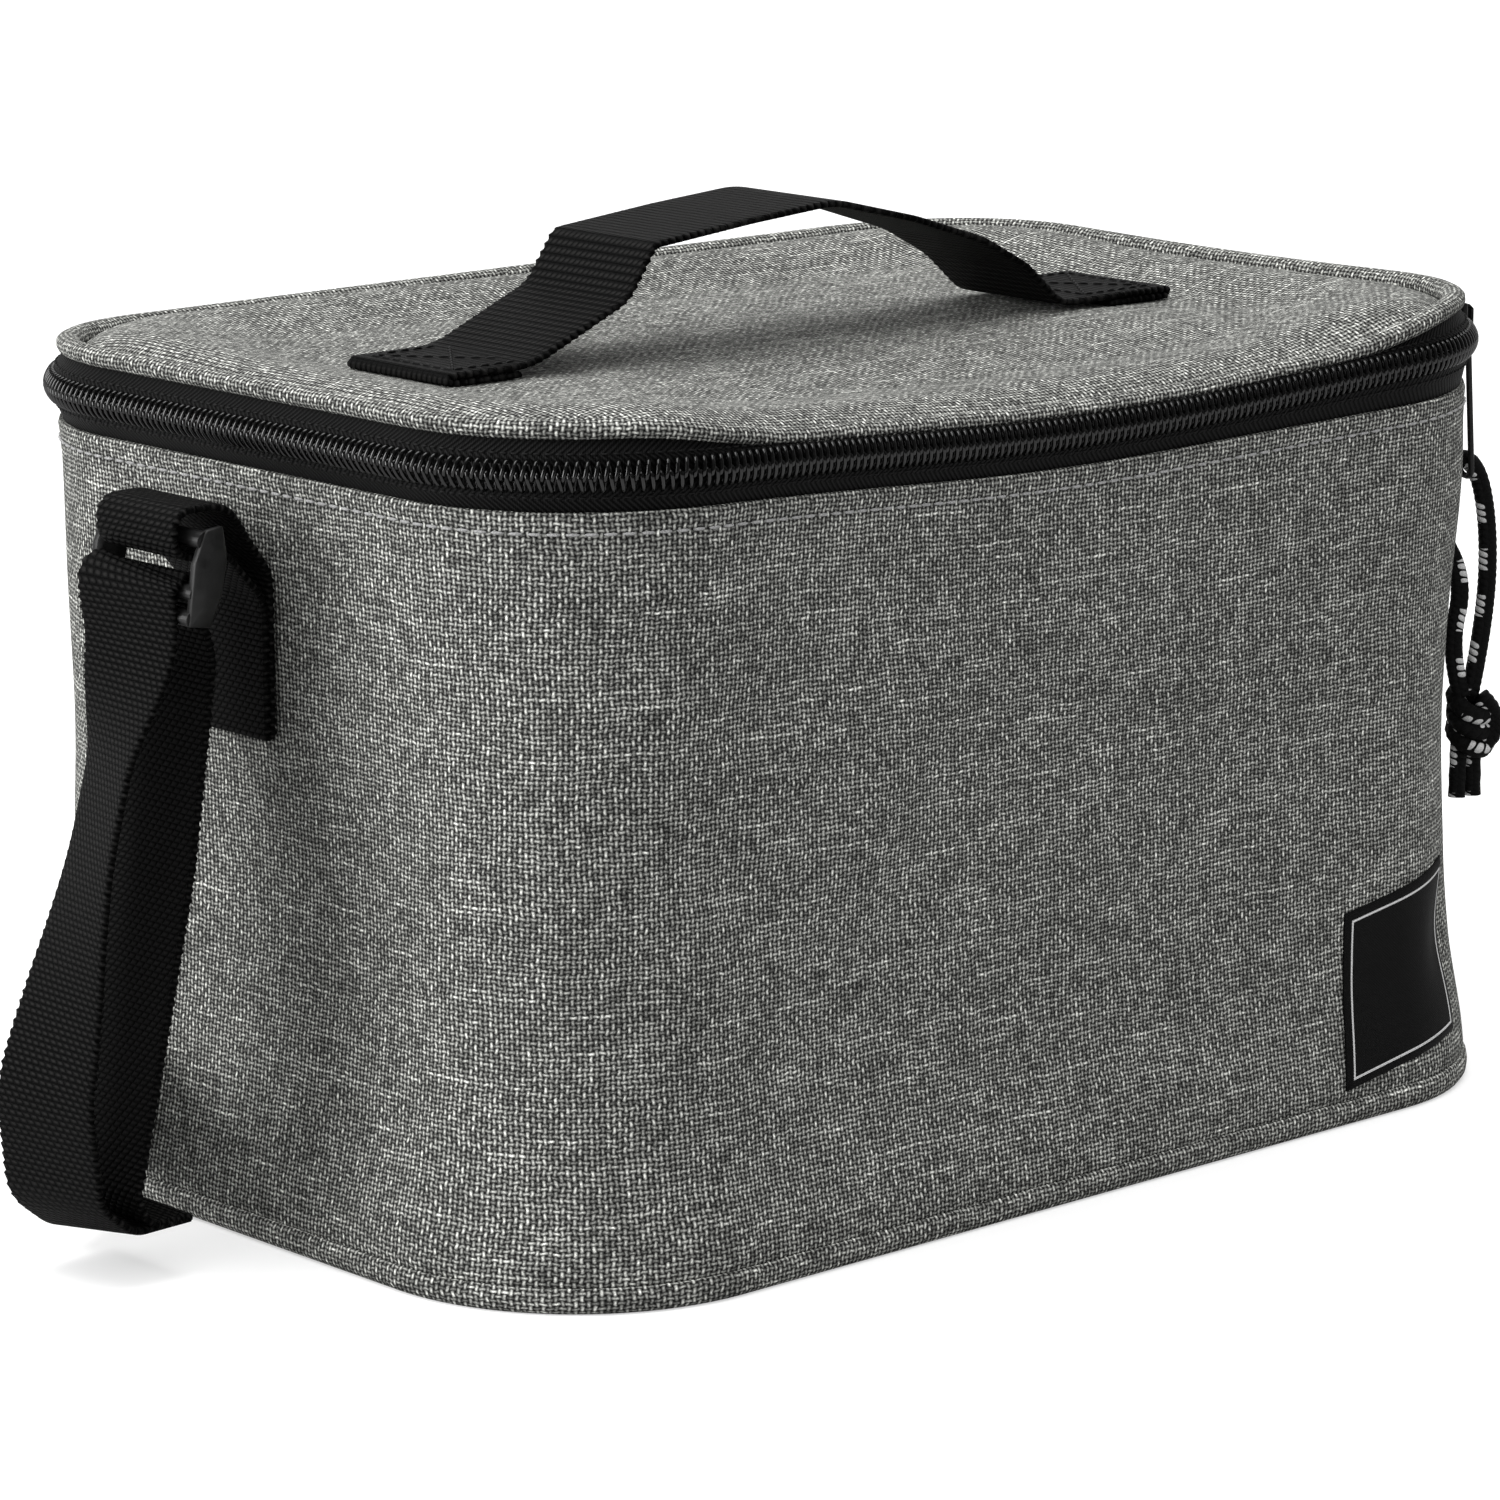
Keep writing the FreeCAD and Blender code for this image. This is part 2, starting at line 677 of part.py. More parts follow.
back_ply = half_d + gap + web / 2
belt_r = size("bag_r") + gap + web / 2
belt_path = [
    (run_x + ply, -half_strap, 0),
    (run_x + ply, half_strap + 5, 8),
    (-inner_ply, centre_y - 7, 8),
    (-inner_ply, back_ply, belt_r),
    (inner_ply, back_ply, belt_r),
    (inner_ply, -half_strap, 0),
]
belt = doc.addObject("PartDesign::Body", "strap_belt")
sketch = new_sketch(belt, "XY_Plane", "belt_plan", "sheet.belt_z0")
sketch.addGeometry(strip_geometry(belt_path, web), False)
new_pad(belt, sketch, "belt_pad", "sheet.belt_z1 - sheet.belt_z0")
sketch = new_sketch(belt, "YZ_Plane", "belt_front")
slope = belt_z1 - half_strap
polygon(sketch, [(-half_d - 20, 0), (slope, 0), (slope - 60, 60), (-half_d - 20, 60)])
new_pocket(belt, sketch, "belt_front_pocket", "2 * sheet.bag_w")
left = add_fold(strip_body("strap_tail", tail_path, "strap_w"), "left_fold", (run_x - web / 2,) * 2)
right_low = (outer_ply - web / 2, inner_ply - web / 2)
right = add_fold(strip_body("strap_riser", riser_path, "strap_w"), "right_fold", right_low)
strap = doc.addObject("Part::MultiFuse", "shoulder_strap")
strap.Shapes = [belt, left, right]
keep(strap, "shoulder_strap")

low_ply = height("dome_z_c_dz") + gap + web / 2
high_ply = low_ply + ply
fold_r = ply / 2
end_x = half_w - size("handle_inset")
handle_path = [
    (-end_x + 24, low_ply, 0),
    (-end_x, low_ply, fold_r),
    (-end_x, high_ply, fold_r),
    (-end_x + 26, high_ply, 8),
    (-end_x + 46, high_ply + 8.6, 5),
    (-end_x + 51.5, high_ply + 17.2, 2.5),
    (-end_x + 76, high_ply + 19.6, 50),
    (2, high_ply + 21, 25),
    (end_x - 72, high_ply + 15.8, 50),
    (end_x - 54, high_ply + 9.5, 30),
    (end_x - 33, high_ply, 8),
    (end_x, high_ply, fold_r),
    (end_x, low_ply, fold_r),
    (end_x - 24, low_ply, 0),
]
keep(strip_body("carry_handle", handle_path, "handle_w"), "carry_handle")

# Strap adjuster: two faceted rails and three round bars
adjuster = doc.addObject("PartDesign::Body", "strap_adjuster")
half_t = size("rail_half_t")
over = size("rail_over")
low_z = height("bar_low_z_dz")
rail = [
    (bar_x - half_t, low_z + 1),
    (bar_x - half_t, bar_z - 1),
    (bar_x - half_t / 2, bar_z + over),
    (bar_x + half_t / 2, bar_z + over),
    (bar_x + half_t, bar_z - 1),
    (bar_x + half_t, low_z + 1),
    (bar_x + half_t / 2, low_z - over),
    (bar_x - half_t / 2, low_z - over),
]
sketch = new_sketch(adjuster, "XZ_Plane", "rail_outline")
polygon(sketch, rail)
new_pad(adjuster, sketch, "rail_pad", "2 * sheet.rail_out", both_ways=True)
sketch = new_sketch(adjuster, "XZ_Plane", "window_outline")
polygon(sketch, [(bar_x - 9, low_z - 9), (bar_x + 9, low_z - 9), (bar_x + 9, bar_z + 9), (bar_x - 9, bar_z + 9)])
new_pocket(adjuster, sketch, "window_pocket", "2 * sheet.rail_in")
sketch = new_sketch(adjuster, "XZ_Plane", "bar_circles")
for k, name in enumerate(("bar_z_dz", "bar_mid_z_dz", "bar_low_z_dz")):
    circle = sketch.addGeometry(Part.Circle(Vector(bar_x, height(name), 0), Vector(0, 0, 1), size("bar_r")), False)
    bind(sketch, Sketcher.Constraint("Radius", circle, size("bar_r")), f"bar_{k}", "sheet.bar_r")
new_pad(adjuster, sketch, "bar_pad", "2 * sheet.rail_out - 1", both_ways=True)
keep(adjuster, "strap_adjuster")

# Zipper slider, built on the corner's axis and then turned into place
slider = doc.addObject("PartDesign::Body", "zipper_slider")
half_len = size("slider_len") / 2
plate_h = size("plate_half_h")
low_lip = mid - plate_h
side = [
    (reach_of("plate_in_dr"), low_lip + size("lip_t")),
    (reach_of("lip_reach_dr"), low_lip + size("lip_t")),
    (reach_of("lip_reach_dr"), low_lip),
    (reach_of("plate_out_dr"), low_lip),
    (reach_of("plate_out_dr"), mid + plate_h),
    (reach_of("plate_in_dr"), mid + plate_h),
]
sketch = new_sketch(slider, "XZ_Plane", "plate_outline")
polygon(sketch, side)
new_pad(slider, sketch, "plate_pad", "sheet.slider_len", both_ways=True)
sketch = new_sketch(slider, "XZ_Plane", "bridge_outline")
hole = size("bridge_in_half")
arch = size("bridge_out_half")
plate_out = reach_of("plate_out_dr")
bridge = [
    (plate_out, mid - arch),
    (reach_of("bridge_out_dr"), mid - arch),
    (reach_of("bridge_out_dr"), mid + arch),
    (plate_out, mid + arch),
    (plate_out, mid + hole),
    (reach_of("bridge_hole_out_dr"), mid + hole),
    (reach_of("bridge_hole_out_dr"), mid - hole),
    (plate_out, mid - hole),
]
polygon(sketch, bridge)
new_pad(slider, sketch, "bridge_pad", "sheet.bridge_len", both_ways=True)
post_h = size("post_h") / 2
sketch = new_sketch(slider, "YZ_Plane", "post_outline", from_axis("back_out_dr"))
polygon(
    sketch,
    [
        (-half_len, mid),
        (-half_len + size("post_len") / 2, mid - post_h),
        (-half_len + size("post_len"), mid),
        (-half_len + size("post_len") / 2, mid + post_h),
    ],
)
new_pad(slider, sketch, "post_pad", "sheet.plate_in_dr - sheet.back_out_dr")
sketch = new_sketch(slider, "YZ_Plane", "back_outline", from_axis("back_in_dr"))
polygon(sketch, [(-half_len, low_lip), (half_len, low_lip), (half_len, mid + plate_h), (-half_len, mid + plate_h)])
new_pad(slider, sketch, "back_pad", "sheet.back_out_dr - sheet.back_in_dr")
slider.Placement = pull_frame
keep(slider, "zipper_slider")

# Wire pull, and the cord that hangs from it
at = reach_of("wire_at_dr")
low = height("wire_low_z_dz")
bend = size("wire_bend")
wire_path = [
    (Vector(at, -size("wire_low_w") / 2, low), bend),
    (Vector(at, -size("wire_top_w") / 2, mid), bend),
    (Vector(at, size("wire_top_w") / 2, mid), bend),
    (Vector(at, size("wire_low_w") / 2, low), bend),
]
plain("wire_pull", tube(wire_path, size("wire_d"), closed=True), pull_frame)
fold = size("cord_fold_r")
crown = low - size("cord_sag") + fold
knot_top = height("knot_z_dz") + size("knot_half_h") + 0.2
beside = size("cord_d") / 2 + 0.1
cord_path = [
    (Vector(at - beside, 0, knot_top), 0),
    (Vector(at - fold, 0, low - 18), 60),
    (Vector(at - fold, 0, crown), fold),
    (Vector(at + fold, 0, crown), fold),
    (Vector(at + fold, 0, low - 18), 60),
    (Vector(at + beside, 0, knot_top), 0),
]
plain("pull_cord", tube(cord_path, size("cord_d")), pull_frame)
knot = doc.addObject("PartDesign::Body", "cord_knot")
sketch = new_sketch(knot, "XY_Plane", "knot_outline", f"{formula('knot_z_dz')} - sheet.knot_half_h")
knot_r = size("knot_r")
angles = [math.radians(22.5 + 45 * k) for k in range(8)]
polygon(sketch, [(knot_r * math.cos(a), knot_r * math.sin(a)) for a in angles])
new_pad(knot, sketch, "knot_pad", "2 * sheet.knot_half_h")
bevel_edges(knot, "knot_bevel", "knot_bevel_size", lambda e: e.BoundBox.ZLength < 1e-6)
knot.Placement = pull_frame.multiply(Placement(Vector(at, 0, 0), Rotation()))
keep(knot, "cord_knot")
tail_top = height("knot_z_dz") - size("knot_half_h") - 0.2
tails = []
for way in (-1, 1):
    start = Vector(at + way * beside, 0, tail_top)
    stop = Vector(at + way * (beside + 0.6), 0, height("tail_end_z_dz"))
    tails.append(Part.Face(eight_sides(start, stop - start, size("cord_d"))).extrude(stop - start))
plain("cord_tails", Part.makeCompound(tails), pull_frame)

doc.recompute()
for obj, name in nodes:
    if "Invalid" in obj.State or "Error" in obj.State:
        raise RuntimeError(f"{name} did not recompute: {obj.State}")
    if obj.Shape.isNull() or not obj.Shape.isValid() or not obj.Shape.Solids:
        raise RuntimeError(f"{name} has no valid solid")
    obj.Shape.exportStep(f"parts/{name}.step")
    print(f"{name}: {len(obj.Shape.Solids)} solids, {obj.Shape.Volume:.1f} mm3")
print(f"{len(nodes)} sub-parts")
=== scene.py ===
"""Soft insulated lunch bag with a zipped lid: the looks of each piece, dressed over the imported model."""
import math

import bmesh
import bpy
from mathutils import Matrix, Vector, noise


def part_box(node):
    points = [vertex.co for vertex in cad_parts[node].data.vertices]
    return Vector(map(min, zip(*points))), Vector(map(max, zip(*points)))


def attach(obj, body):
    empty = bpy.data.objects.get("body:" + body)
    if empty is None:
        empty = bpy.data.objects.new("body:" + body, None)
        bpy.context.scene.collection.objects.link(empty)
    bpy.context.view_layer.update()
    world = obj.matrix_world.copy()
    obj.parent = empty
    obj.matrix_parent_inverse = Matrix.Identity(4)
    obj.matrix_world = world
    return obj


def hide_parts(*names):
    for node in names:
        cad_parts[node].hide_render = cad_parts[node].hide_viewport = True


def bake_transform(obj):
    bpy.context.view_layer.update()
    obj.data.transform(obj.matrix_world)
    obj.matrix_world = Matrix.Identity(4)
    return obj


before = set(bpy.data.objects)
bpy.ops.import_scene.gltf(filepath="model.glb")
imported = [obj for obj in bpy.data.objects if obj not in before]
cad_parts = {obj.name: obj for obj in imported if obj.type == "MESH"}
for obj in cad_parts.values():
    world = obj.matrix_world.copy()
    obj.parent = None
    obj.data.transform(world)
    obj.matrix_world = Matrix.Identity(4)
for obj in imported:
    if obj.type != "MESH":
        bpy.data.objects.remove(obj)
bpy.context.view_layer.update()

# Lengths below are in millimetres, and add_mesh turns them into metres.
MM = 0.001


def node_box(name):
    return [Vector(corner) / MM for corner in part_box(name)]


wall_high = node_box("outer_wall")[1]
HALF_W = wall_high.x
HALF_D = wall_high.y
WALL_TOP = wall_high.z
CORNER = 41
SPINE = HALF_W - HALF_D
ZIP_MID = (node_box("zipper_tape_lower")[1].z + node_box("zipper_tape_upper")[0].z) / 2
LID_CREST = node_box("lid_top_panel")[1].z

# The outline seen from above, walked counterclockwise from the middle of the back.
LINE_X = 2 * (HALF_W - CORNER)
LINE_Y = 2 * (HALF_D - CORNER)
QUARTER = math.pi / 2 * CORNER
LEGS = [("line", LINE_X / 2)]
for side in (LINE_Y, LINE_X, LINE_Y, LINE_X / 2):
    LEGS += [("arc", QUARTER), ("line", side)]
PERIMETER = sum(length for _, length in LEGS)
LEFT_MID = LINE_X / 2 + QUARTER + LINE_Y / 2
FRONT_MID = PERIMETER / 2
RIGHT_MID = PERIMETER - LEFT_MID
ZIP_SHORT = 7
ZIP_START = LINE_X / 2 + QUARTER / 2 - ZIP_SHORT
ZIP_STOP = PERIMETER - ZIP_START
FRONT_RIGHT_AXIS = Vector((HALF_W - CORNER, CORNER - HALF_D, 0))
SLIDER_ANGLE = math.radians(18)


def ring_point(s):
    """Position on the wall's outline and the outward direction there, as x, y, nx, ny."""
    s %= PERIMETER
    spot = Vector((0, HALF_D))
    heading = math.pi
    for kind, length in LEGS:
        part = min(s, length)
        out = Vector((math.sin(heading), -math.cos(heading)))
        if kind == "line":
            spot = spot + Vector((math.cos(heading), math.sin(heading))) * part
        else:
            centre = spot - out * CORNER
            heading += part / CORNER
            out = Vector((math.sin(heading), -math.cos(heading)))
            spot = centre + out * CORNER
        s -= part
        if s <= 0:
            break
    return spot.x, spot.y, out.x, out.y


def smooth(low, high, value):
    t = min(max((value - low) / (high - low), 0), 1)
    return t * t * (3 - 2 * t)


# How the soft walls settle: the front's zipper line droops and draws in, sides draw in, the foot flares.
DROOP = 5.2
DRAW_IN = 4.0
DROOP_AT = FRONT_MID + 12
DROOP_REACH = 125
RIGHT_DROOP = 1.5
RIGHT_REACH = 110
# The lid's edge hangs over the zipper along the front, and the wall's edge is slack at the right.
HANG = 4.2
HANG_FULL = 70
HANG_REACH = 112
BACK_DROP = 1.4
SLACK = 2.2
SLACK_AT = FRONT_MID + 115
SLACK_REACH = 90
SOFT_FROM = 55
HEM_FROM = 100
FOOT = 6
HOLLOW = 1.8
HOLLOW_AT_CORNER = 0.35
FLARE = 1.6
FLARE_TOP = 30
UNEVEN = 1.0
UNEVEN_LONG = 55
UNEVEN_TALL = 42
# Dents as place along the outline, height, angle, half length, half width and depth.
DENTS = [
    (510, 33, 72, 10, 6, 1.5),
    (330, 112, 20, 34, 9, 1.3),
    (298, 84, -25, 26, 8, 1.2),
    (352, 96, 62, 30, 10, -0.9),
    (430, 60, 15, 60, 26, 0.9),
    (205, 70, 5, 30, 20, 0.8),
    (526, 74, 88, 34, 18, 2.0),
    (522, 124, 88, 22, 20, -1.3),
    (60, 80, 10, 50, 25, 1.0),
    (740, 60, -20, 45, 20, 1.0),
]


def near(s, place, reach):
    """1 at a place along the outline, easing to 0 at a reach from it."""
    away = abs(s % PERIMETER - place)
    return math.cos(math.pi / 2 * min(away / reach, 1)) ** 2


def settle(s, z, in_lid=False):
    """Outward and upward shift of a point of the bag's wall, zipper or lid."""
    x, y, nx, ny = ring_point(s)
    here = s % PERIMETER
    rise = smooth(SOFT_FROM, WALL_TOP, z)
    share = near(s, DROOP_AT, DROOP_REACH) * rise
    waist = math.sin(math.pi * min(max((z - FOOT) / (WALL_TOP - FOOT), 0), 1))
    flat = (max(abs(nx), abs(ny)) - math.sqrt(0.5)) / (1 - math.sqrt(0.5))
    out = -DRAW_IN * share - HOLLOW * waist * (HOLLOW_AT_CORNER + (1 - HOLLOW_AT_CORNER) * flat)
    out += FLARE * (1 - smooth(3, FLARE_TOP, z))
    out += UNEVEN * waist * noise.noise(Vector((x / UNEVEN_LONG, y / UNEVEN_LONG, z / UNEVEN_TALL)))
    for place, height, angle, long, wide, depth in DENTS:
        c = math.cos(math.radians(angle))
        d = math.sin(math.radians(angle))
        ds = here - place
        dz = z - height
        out -= depth * math.exp(-(((ds * c + dz * d) / long) ** 2) - ((dz * c - ds * d) / wide) ** 2)
    up = -DROOP * share - RIGHT_DROOP * near(s, RIGHT_MID, RIGHT_REACH) * rise
    from_front = abs(here - FRONT_MID)
    edge = HANG * (1 - smooth(HANG_FULL, HANG_REACH, from_front))
    edge += BACK_DROP * smooth(FRONT_MID - 150, FRONT_MID - 90, from_front)
    up -= edge * (1 if in_lid else smooth(ZIP_MID + 3.2, ZIP_MID + 6.2, z))
    hem = smooth(HEM_FROM, WALL_TOP, z) * (1 - smooth(WALL_TOP + 1, ZIP_MID - 2.5, z))
    return out, up - SLACK * near(s, SLACK_AT, SLACK_REACH) * hem


def on_wall(s, off, z):
    """A point at an offset from the outline and a height, moved as the soft wall settles."""
    x, y, nx, ny = ring_point(s)
    out, up = settle(s, z, z > ZIP_MID and off < -2.5)
    return Vector((x + nx * (off + out), y + ny * (off + out), z + up))


def inside(s, off, share, z):
    """A point between the outline, at share 1, and the bag's long middle line, at share 0."""
    rim = on_wall(s, off, z)
    middle = Vector((min(max(rim.x, -SPINE), SPINE), 0, z))
    spot = middle + (rim - middle) * share
    spot.z = z + (rim.z - z) * share**2
    return spot


def stations(start, stop, step):
    count = max(int(round((stop - start) / step)), 2)
    return [start + (stop - start) * k / count for k in range(count + 1)]


RING = stations(0, PERIMETER, 3)[:-1]
FINE_RING = stations(0, PERIMETER, 1.6)[:-1]


def link(name, data):
    obj = bpy.data.objects.new(name, data)
    bpy.context.scene.collection.objects.link(obj)
    return obj


def add_mesh(name, verts, faces, uvs=None):
    """A smooth mesh from points in millimetres, with a UV in millimetres for each face corner."""
    uvs = uvs or [(verts[k].x + verts[k].y, verts[k].z) for face in faces for k in face]
    mesh = bpy.data.meshes.new(name)
    mesh.from_pydata([Vector(v) * MM for v in verts], [], faces)
    layer = mesh.uv_layers.new(name="UVMap")
    for loop, uv in zip(layer.data, uvs):
        loop.uv = uv
    mesh.shade_smooth()
    return link(name, mesh)


def grid(name, rows, u, v, wrap_rows=False, wrap_columns=False):
    """Quads through rows of points. u and v give each row's and column's UV, one more to wrap."""
    count = len(rows)
    width = len(rows[0])
    faces = []
    uvs = []
    for i in range(count if wrap_rows else count - 1):
        for j in range(width if wrap_columns else width - 1):
            a = (i + 1) % count
            b = (j + 1) % width
            faces.append((i * width + j, a * width + j, a * width + b, i * width + b))
            uvs += [(u[i], v[j]), (u[i + 1], v[j]), (u[i + 1], v[j + 1]), (u[i], v[j + 1])]
    return add_mesh(name, [p for row in rows for p in row], faces, uvs)


def lengths(points, closed=False):
    total = [0]
    loop = points + points[:1] if closed else points
    for a, b in zip(loop, loop[1:]):
        total.append(total[-1] + (Vector(b) - Vector(a)).length)
    return total


def ring(name, profile, places=RING, closed=True):
    """A band round the bag. Its profile of offsets and heights goes up outside and down inside."""
    rows = [[on_wall(s, off, z) for off, z in profile] for s in places]
    return grid(name, rows, places + [PERIMETER], lengths(profile, closed), True, closed)


def band(name, profile, start, stop, step=1.6):
    """A band along part of the outline, with closed ends."""
    places = stations(start, stop, step)
    middle = Vector((sum(p[0] for p in profile), sum(p[1] for p in profile))) / len(profile)
    loops = [(places[0], 0.02), *[(s, 1) for s in places], (places[-1], 0.02)]
    rows = []
    for s, share in loops:
        shape = [middle + (Vector(p) - middle) * share for p in profile]
        rows.append([on_wall(s, off, z) for off, z in shape])
    return grid(name, rows, [s for s, _ in loops], lengths(profile, True), False, True)


def disc(name, layers, lift=None):
    """A panel inside the outline. Each layer is an offset, a share of the way out and a height."""
    rows = [[inside(s, *layer) for s in RING] for layer in layers]
    if lift:
        for row, (_, share, z) in zip(rows, layers):
            for p in row:
                p.z += lift(p, share, z)
    verts = [p for row in rows for p in row]
    width = len(RING)
    faces = []
    for i in range(len(rows) - 1):
        for j in range(width):
            b = (j + 1) % width
            faces.append((i * width + j, i * width + b, (i + 1) * width + b, (i + 1) * width + j))
    uvs = [(verts[k].x, verts[k].y) for face in faces for k in face]
    obj = add_mesh(name, verts, faces, uvs)
    weld(obj)
    return obj


def weld(obj, reach=0.02):
    mesh = bmesh.new()
    mesh.from_mesh(obj.data)
    bmesh.ops.remove_doubles(mesh, verts=mesh.verts, dist=reach * MM)
    bmesh.ops.dissolve_degenerate(mesh, edges=mesh.edges, dist=reach * MM / 10)
    mesh.to_mesh(obj.data)
    mesh.free()


def rounded(points, step):
    """Points along straight runs and rounded corners. Each given point is x, z and a radius."""
    spots = [Vector(p[:2]) for p in points]
    line = [spots[0]]
    for before, here, after, (_, _, radius) in zip(spots, spots[1:], spots[2:], points[1:]):
        d1 = (here - before).normalized()
        d2 = (after - here).normalized()
        turn = math.atan2(d1.x * d2.y - d1.y * d2.x, d1.dot(d2))
        reach = radius * math.tan(abs(turn) / 2)
        side = math.copysign(1, turn)
        centre = here - d1 * reach + Vector((-d1.y, d1.x)) * side * radius
        count = max(int(abs(turn) * radius / step), 3)
        start = here - d1 * reach - centre
        for k in range(count + 1):
            a = turn * k / count
            line.append(centre + Matrix.Rotation(a, 2) @ start)
    line.append(spots[-1])
    filled = [line[0]]
    for a, b in zip(line, line[1:]):
        count = max(int((b - a).length / step), 1)
        filled += [a + (b - a) * k / count for k in range(1, count + 1)]
    return filled


SCALLOP = 0.42
SCALLOP_PITCH = 1.9


def webbing_section(width, thickness):
    """Points round a flat strip, as across, through and whether each is on its right or left edge."""
    half = width / 2 - thickness / 2
    cut = [half * k / 5 for k in range(-5, 6)]
    top = [(a, thickness / 2, 0) for a in cut]
    right = [(half + thickness / 2 * math.cos(t), thickness / 2 * math.sin(t), 1) for t in (0.8, 0, -0.8)]
    bottom = [(a, -thickness / 2, 0) for a in reversed(cut)]
    left = [(-a, b, -1) for a, b, _ in reversed(right)]
    return top + right + bottom + left


def lay_upright(flat, across):
    """A point of a strip that runs in the XZ plane, with its width along Y."""
    return Vector((flat.x, across, flat.y))


def strip(name, line, width, thickness, lay=lay_upright, twists=None):
    """Webbing with scalloped edges, along points in a plane. lay puts its points in space."""
    section = webbing_section(width, thickness)
    along = lengths(line)
    rows = []
    for k, spot in enumerate(line):
        tangent = (line[min(k + 1, len(line) - 1)] - line[max(k - 1, 0)]).normalized()
        normal = Vector((-tangent.y, tangent.x))
        angle = twists[k] if twists else 0
        c = math.cos(angle)
        d = math.sin(angle)
        row = []
        for a, b, edge in section:
            a += edge * SCALLOP * math.cos(2 * math.pi * along[k] / SCALLOP_PITCH)
            row.append(lay(spot + normal * (b * c + a * d), a * c - b * d))
        rows.append(row)
    around = [a for a, _, _ in section] + [section[0][0]]
    obj = grid(name, rows, along, around, False, True)
    close_ends(obj, len(section))
    weld(obj)
    return obj


def close_ends(obj, width):
    """Caps the first and last loops of an open tube of quads."""
    mesh = bmesh.new()
    mesh.from_mesh(obj.data)
    mesh.verts.ensure_lookup_table()
    total = len(mesh.verts)
    mesh.faces.new([mesh.verts[k] for k in reversed(range(width))])
    mesh.faces.new([mesh.verts[k] for k in range(total - width, total)])
    bmesh.ops.recalc_face_normals(mesh, faces=mesh.faces)
    mesh.to_mesh(obj.data)
    mesh.free()


def tube(name, points, radius, sides=10, closed=False, relief=None):
    """A round tube along points, with its UV along and round it. relief adds to the radius."""
    along = lengths(points, closed)
    count = len(points)
    rows = []
    side = None
    for k, spot in enumerate(points):
        ahead = points[(k + 1) % count if closed else min(k + 1, count - 1)]
        behind = points[k - 1 if closed else max(k - 1, 0)]
        tangent = (ahead - behind).normalized()
        side = tangent.orthogonal() if side is None else side
        side = (side - tangent * side.dot(tangent)).normalized()
        other = tangent.cross(side)
        row = []
        for j in range(sides):
            angle = 2 * math.pi * j / sides
            r = radius + (relief(along[k], angle) if relief else 0)
            row.append(spot + side * math.cos(angle) * r + other * math.sin(angle) * r)
        rows.append(row)
    around = [2 * math.pi * radius * j / sides for j in range(sides + 1)]
    obj = grid(name, rows, along, around, closed, True)
    if not closed:
        close_ends(obj, sides)
    return obj


def block(outline, place, levels, bevel, segments):
    """Vertices and faces of a bevelled block: an outline at several depths, each drawn in to a share."""
    mesh = bmesh.new()
    middle = sum((Vector(p) for p in outline), Vector((0, 0))) / len(outline)
    loops = []
    for depth, share in levels:
        shape = [middle + (Vector(p) - middle) * share for p in outline]
        loops.append([mesh.verts.new(place(p.x, p.y, depth)) for p in shape])
    count = len(outline)
    mesh.faces.new(loops[0])
    mesh.faces.new(list(reversed(loops[-1])))
    for low, high in zip(loops, loops[1:]):
        for k in range(count):
            n = (k + 1) % count
            mesh.faces.new((low[n], low[k], high[k], high[n]))
    bmesh.ops.recalc_face_normals(mesh, faces=mesh.faces)
    bmesh.ops.bevel(mesh, geom=mesh.edges, offset=bevel, segments=segments, affect="EDGES", profile=0.5)
    mesh.verts.index_update()
    verts = [v.co.copy() for v in mesh.verts]
    faces = [[v.index for v in f.verts] for f in mesh.faces]
    mesh.free()
    return verts, faces


def prism(outline, place, low, high, bevel):
    return block(outline, place, [(low, 1), (high, 1)], bevel, 3)


def assemble(name, solids):
    """One object from several bevelled blocks."""
    verts = []
    faces = []
    for points, sides in solids:
        faces += [[k + len(verts) for k in side] for side in sides]
        verts += points
    return add_mesh(name, verts, faces)


STITCH_SHAPE = [(-1, 0.15), (-0.8, 0.7), (-0.4, 1), (0.4, 1), (0.8, 0.7), (1, 0.15)]
STITCH_SIDES = 6


def stitches(name, rows, radius):
    """Stitches, each with its start, its end and the direction that its surface faces."""
    verts = []
    faces = []
    sides = range(STITCH_SIDES)
    for start, stop, up in rows:
        along = stop - start
        side = along.cross(up).normalized()
        first = len(verts)
        for t, r in STITCH_SHAPE:
            centre = (start + stop) / 2 + along * t / 2 + up * radius * (0.6 - abs(t) ** 4)
            for j in sides:
                angle = 2 * math.pi * j / STITCH_SIDES
                verts.append(centre + (side * math.cos(angle) + up * math.sin(angle)) * radius * r)
        last = len(verts) - STITCH_SIDES
        for a in range(first, last, STITCH_SIDES):
            b = a + STITCH_SIDES
            for j in sides:
                n = (j + 1) % STITCH_SIDES
                faces.append((a + j, a + n, b + n, b + j))
        faces += [[first + j for j in reversed(sides)], [last + j for j in sides]]
    return add_mesh(name, verts, faces)


def ring_stitches(name, places, length, off, z, radius):
    """Stitches along the outline, one from each place on it."""
    rows = []
    for s in places:
        x, y, nx, ny = ring_point(s)
        rows.append((on_wall(s, off, z), on_wall(s + length, off, z), Vector((nx, ny, 0))))
    return stitches(name, rows, radius)


def stitch_line(points, up, length, gap):
    """Stitches along a polyline, all facing one way."""
    rows = []
    last = 0.92 - gap / (length + gap) / 2
    for a, b in zip(points, points[1:]):
        count = max(int((b - a).length / (length + gap)), 1)
        step = (b - a) / count
        rows += [(a + step * (k + 0.08), a + step * (k + last), up) for k in range(count)]
    return rows


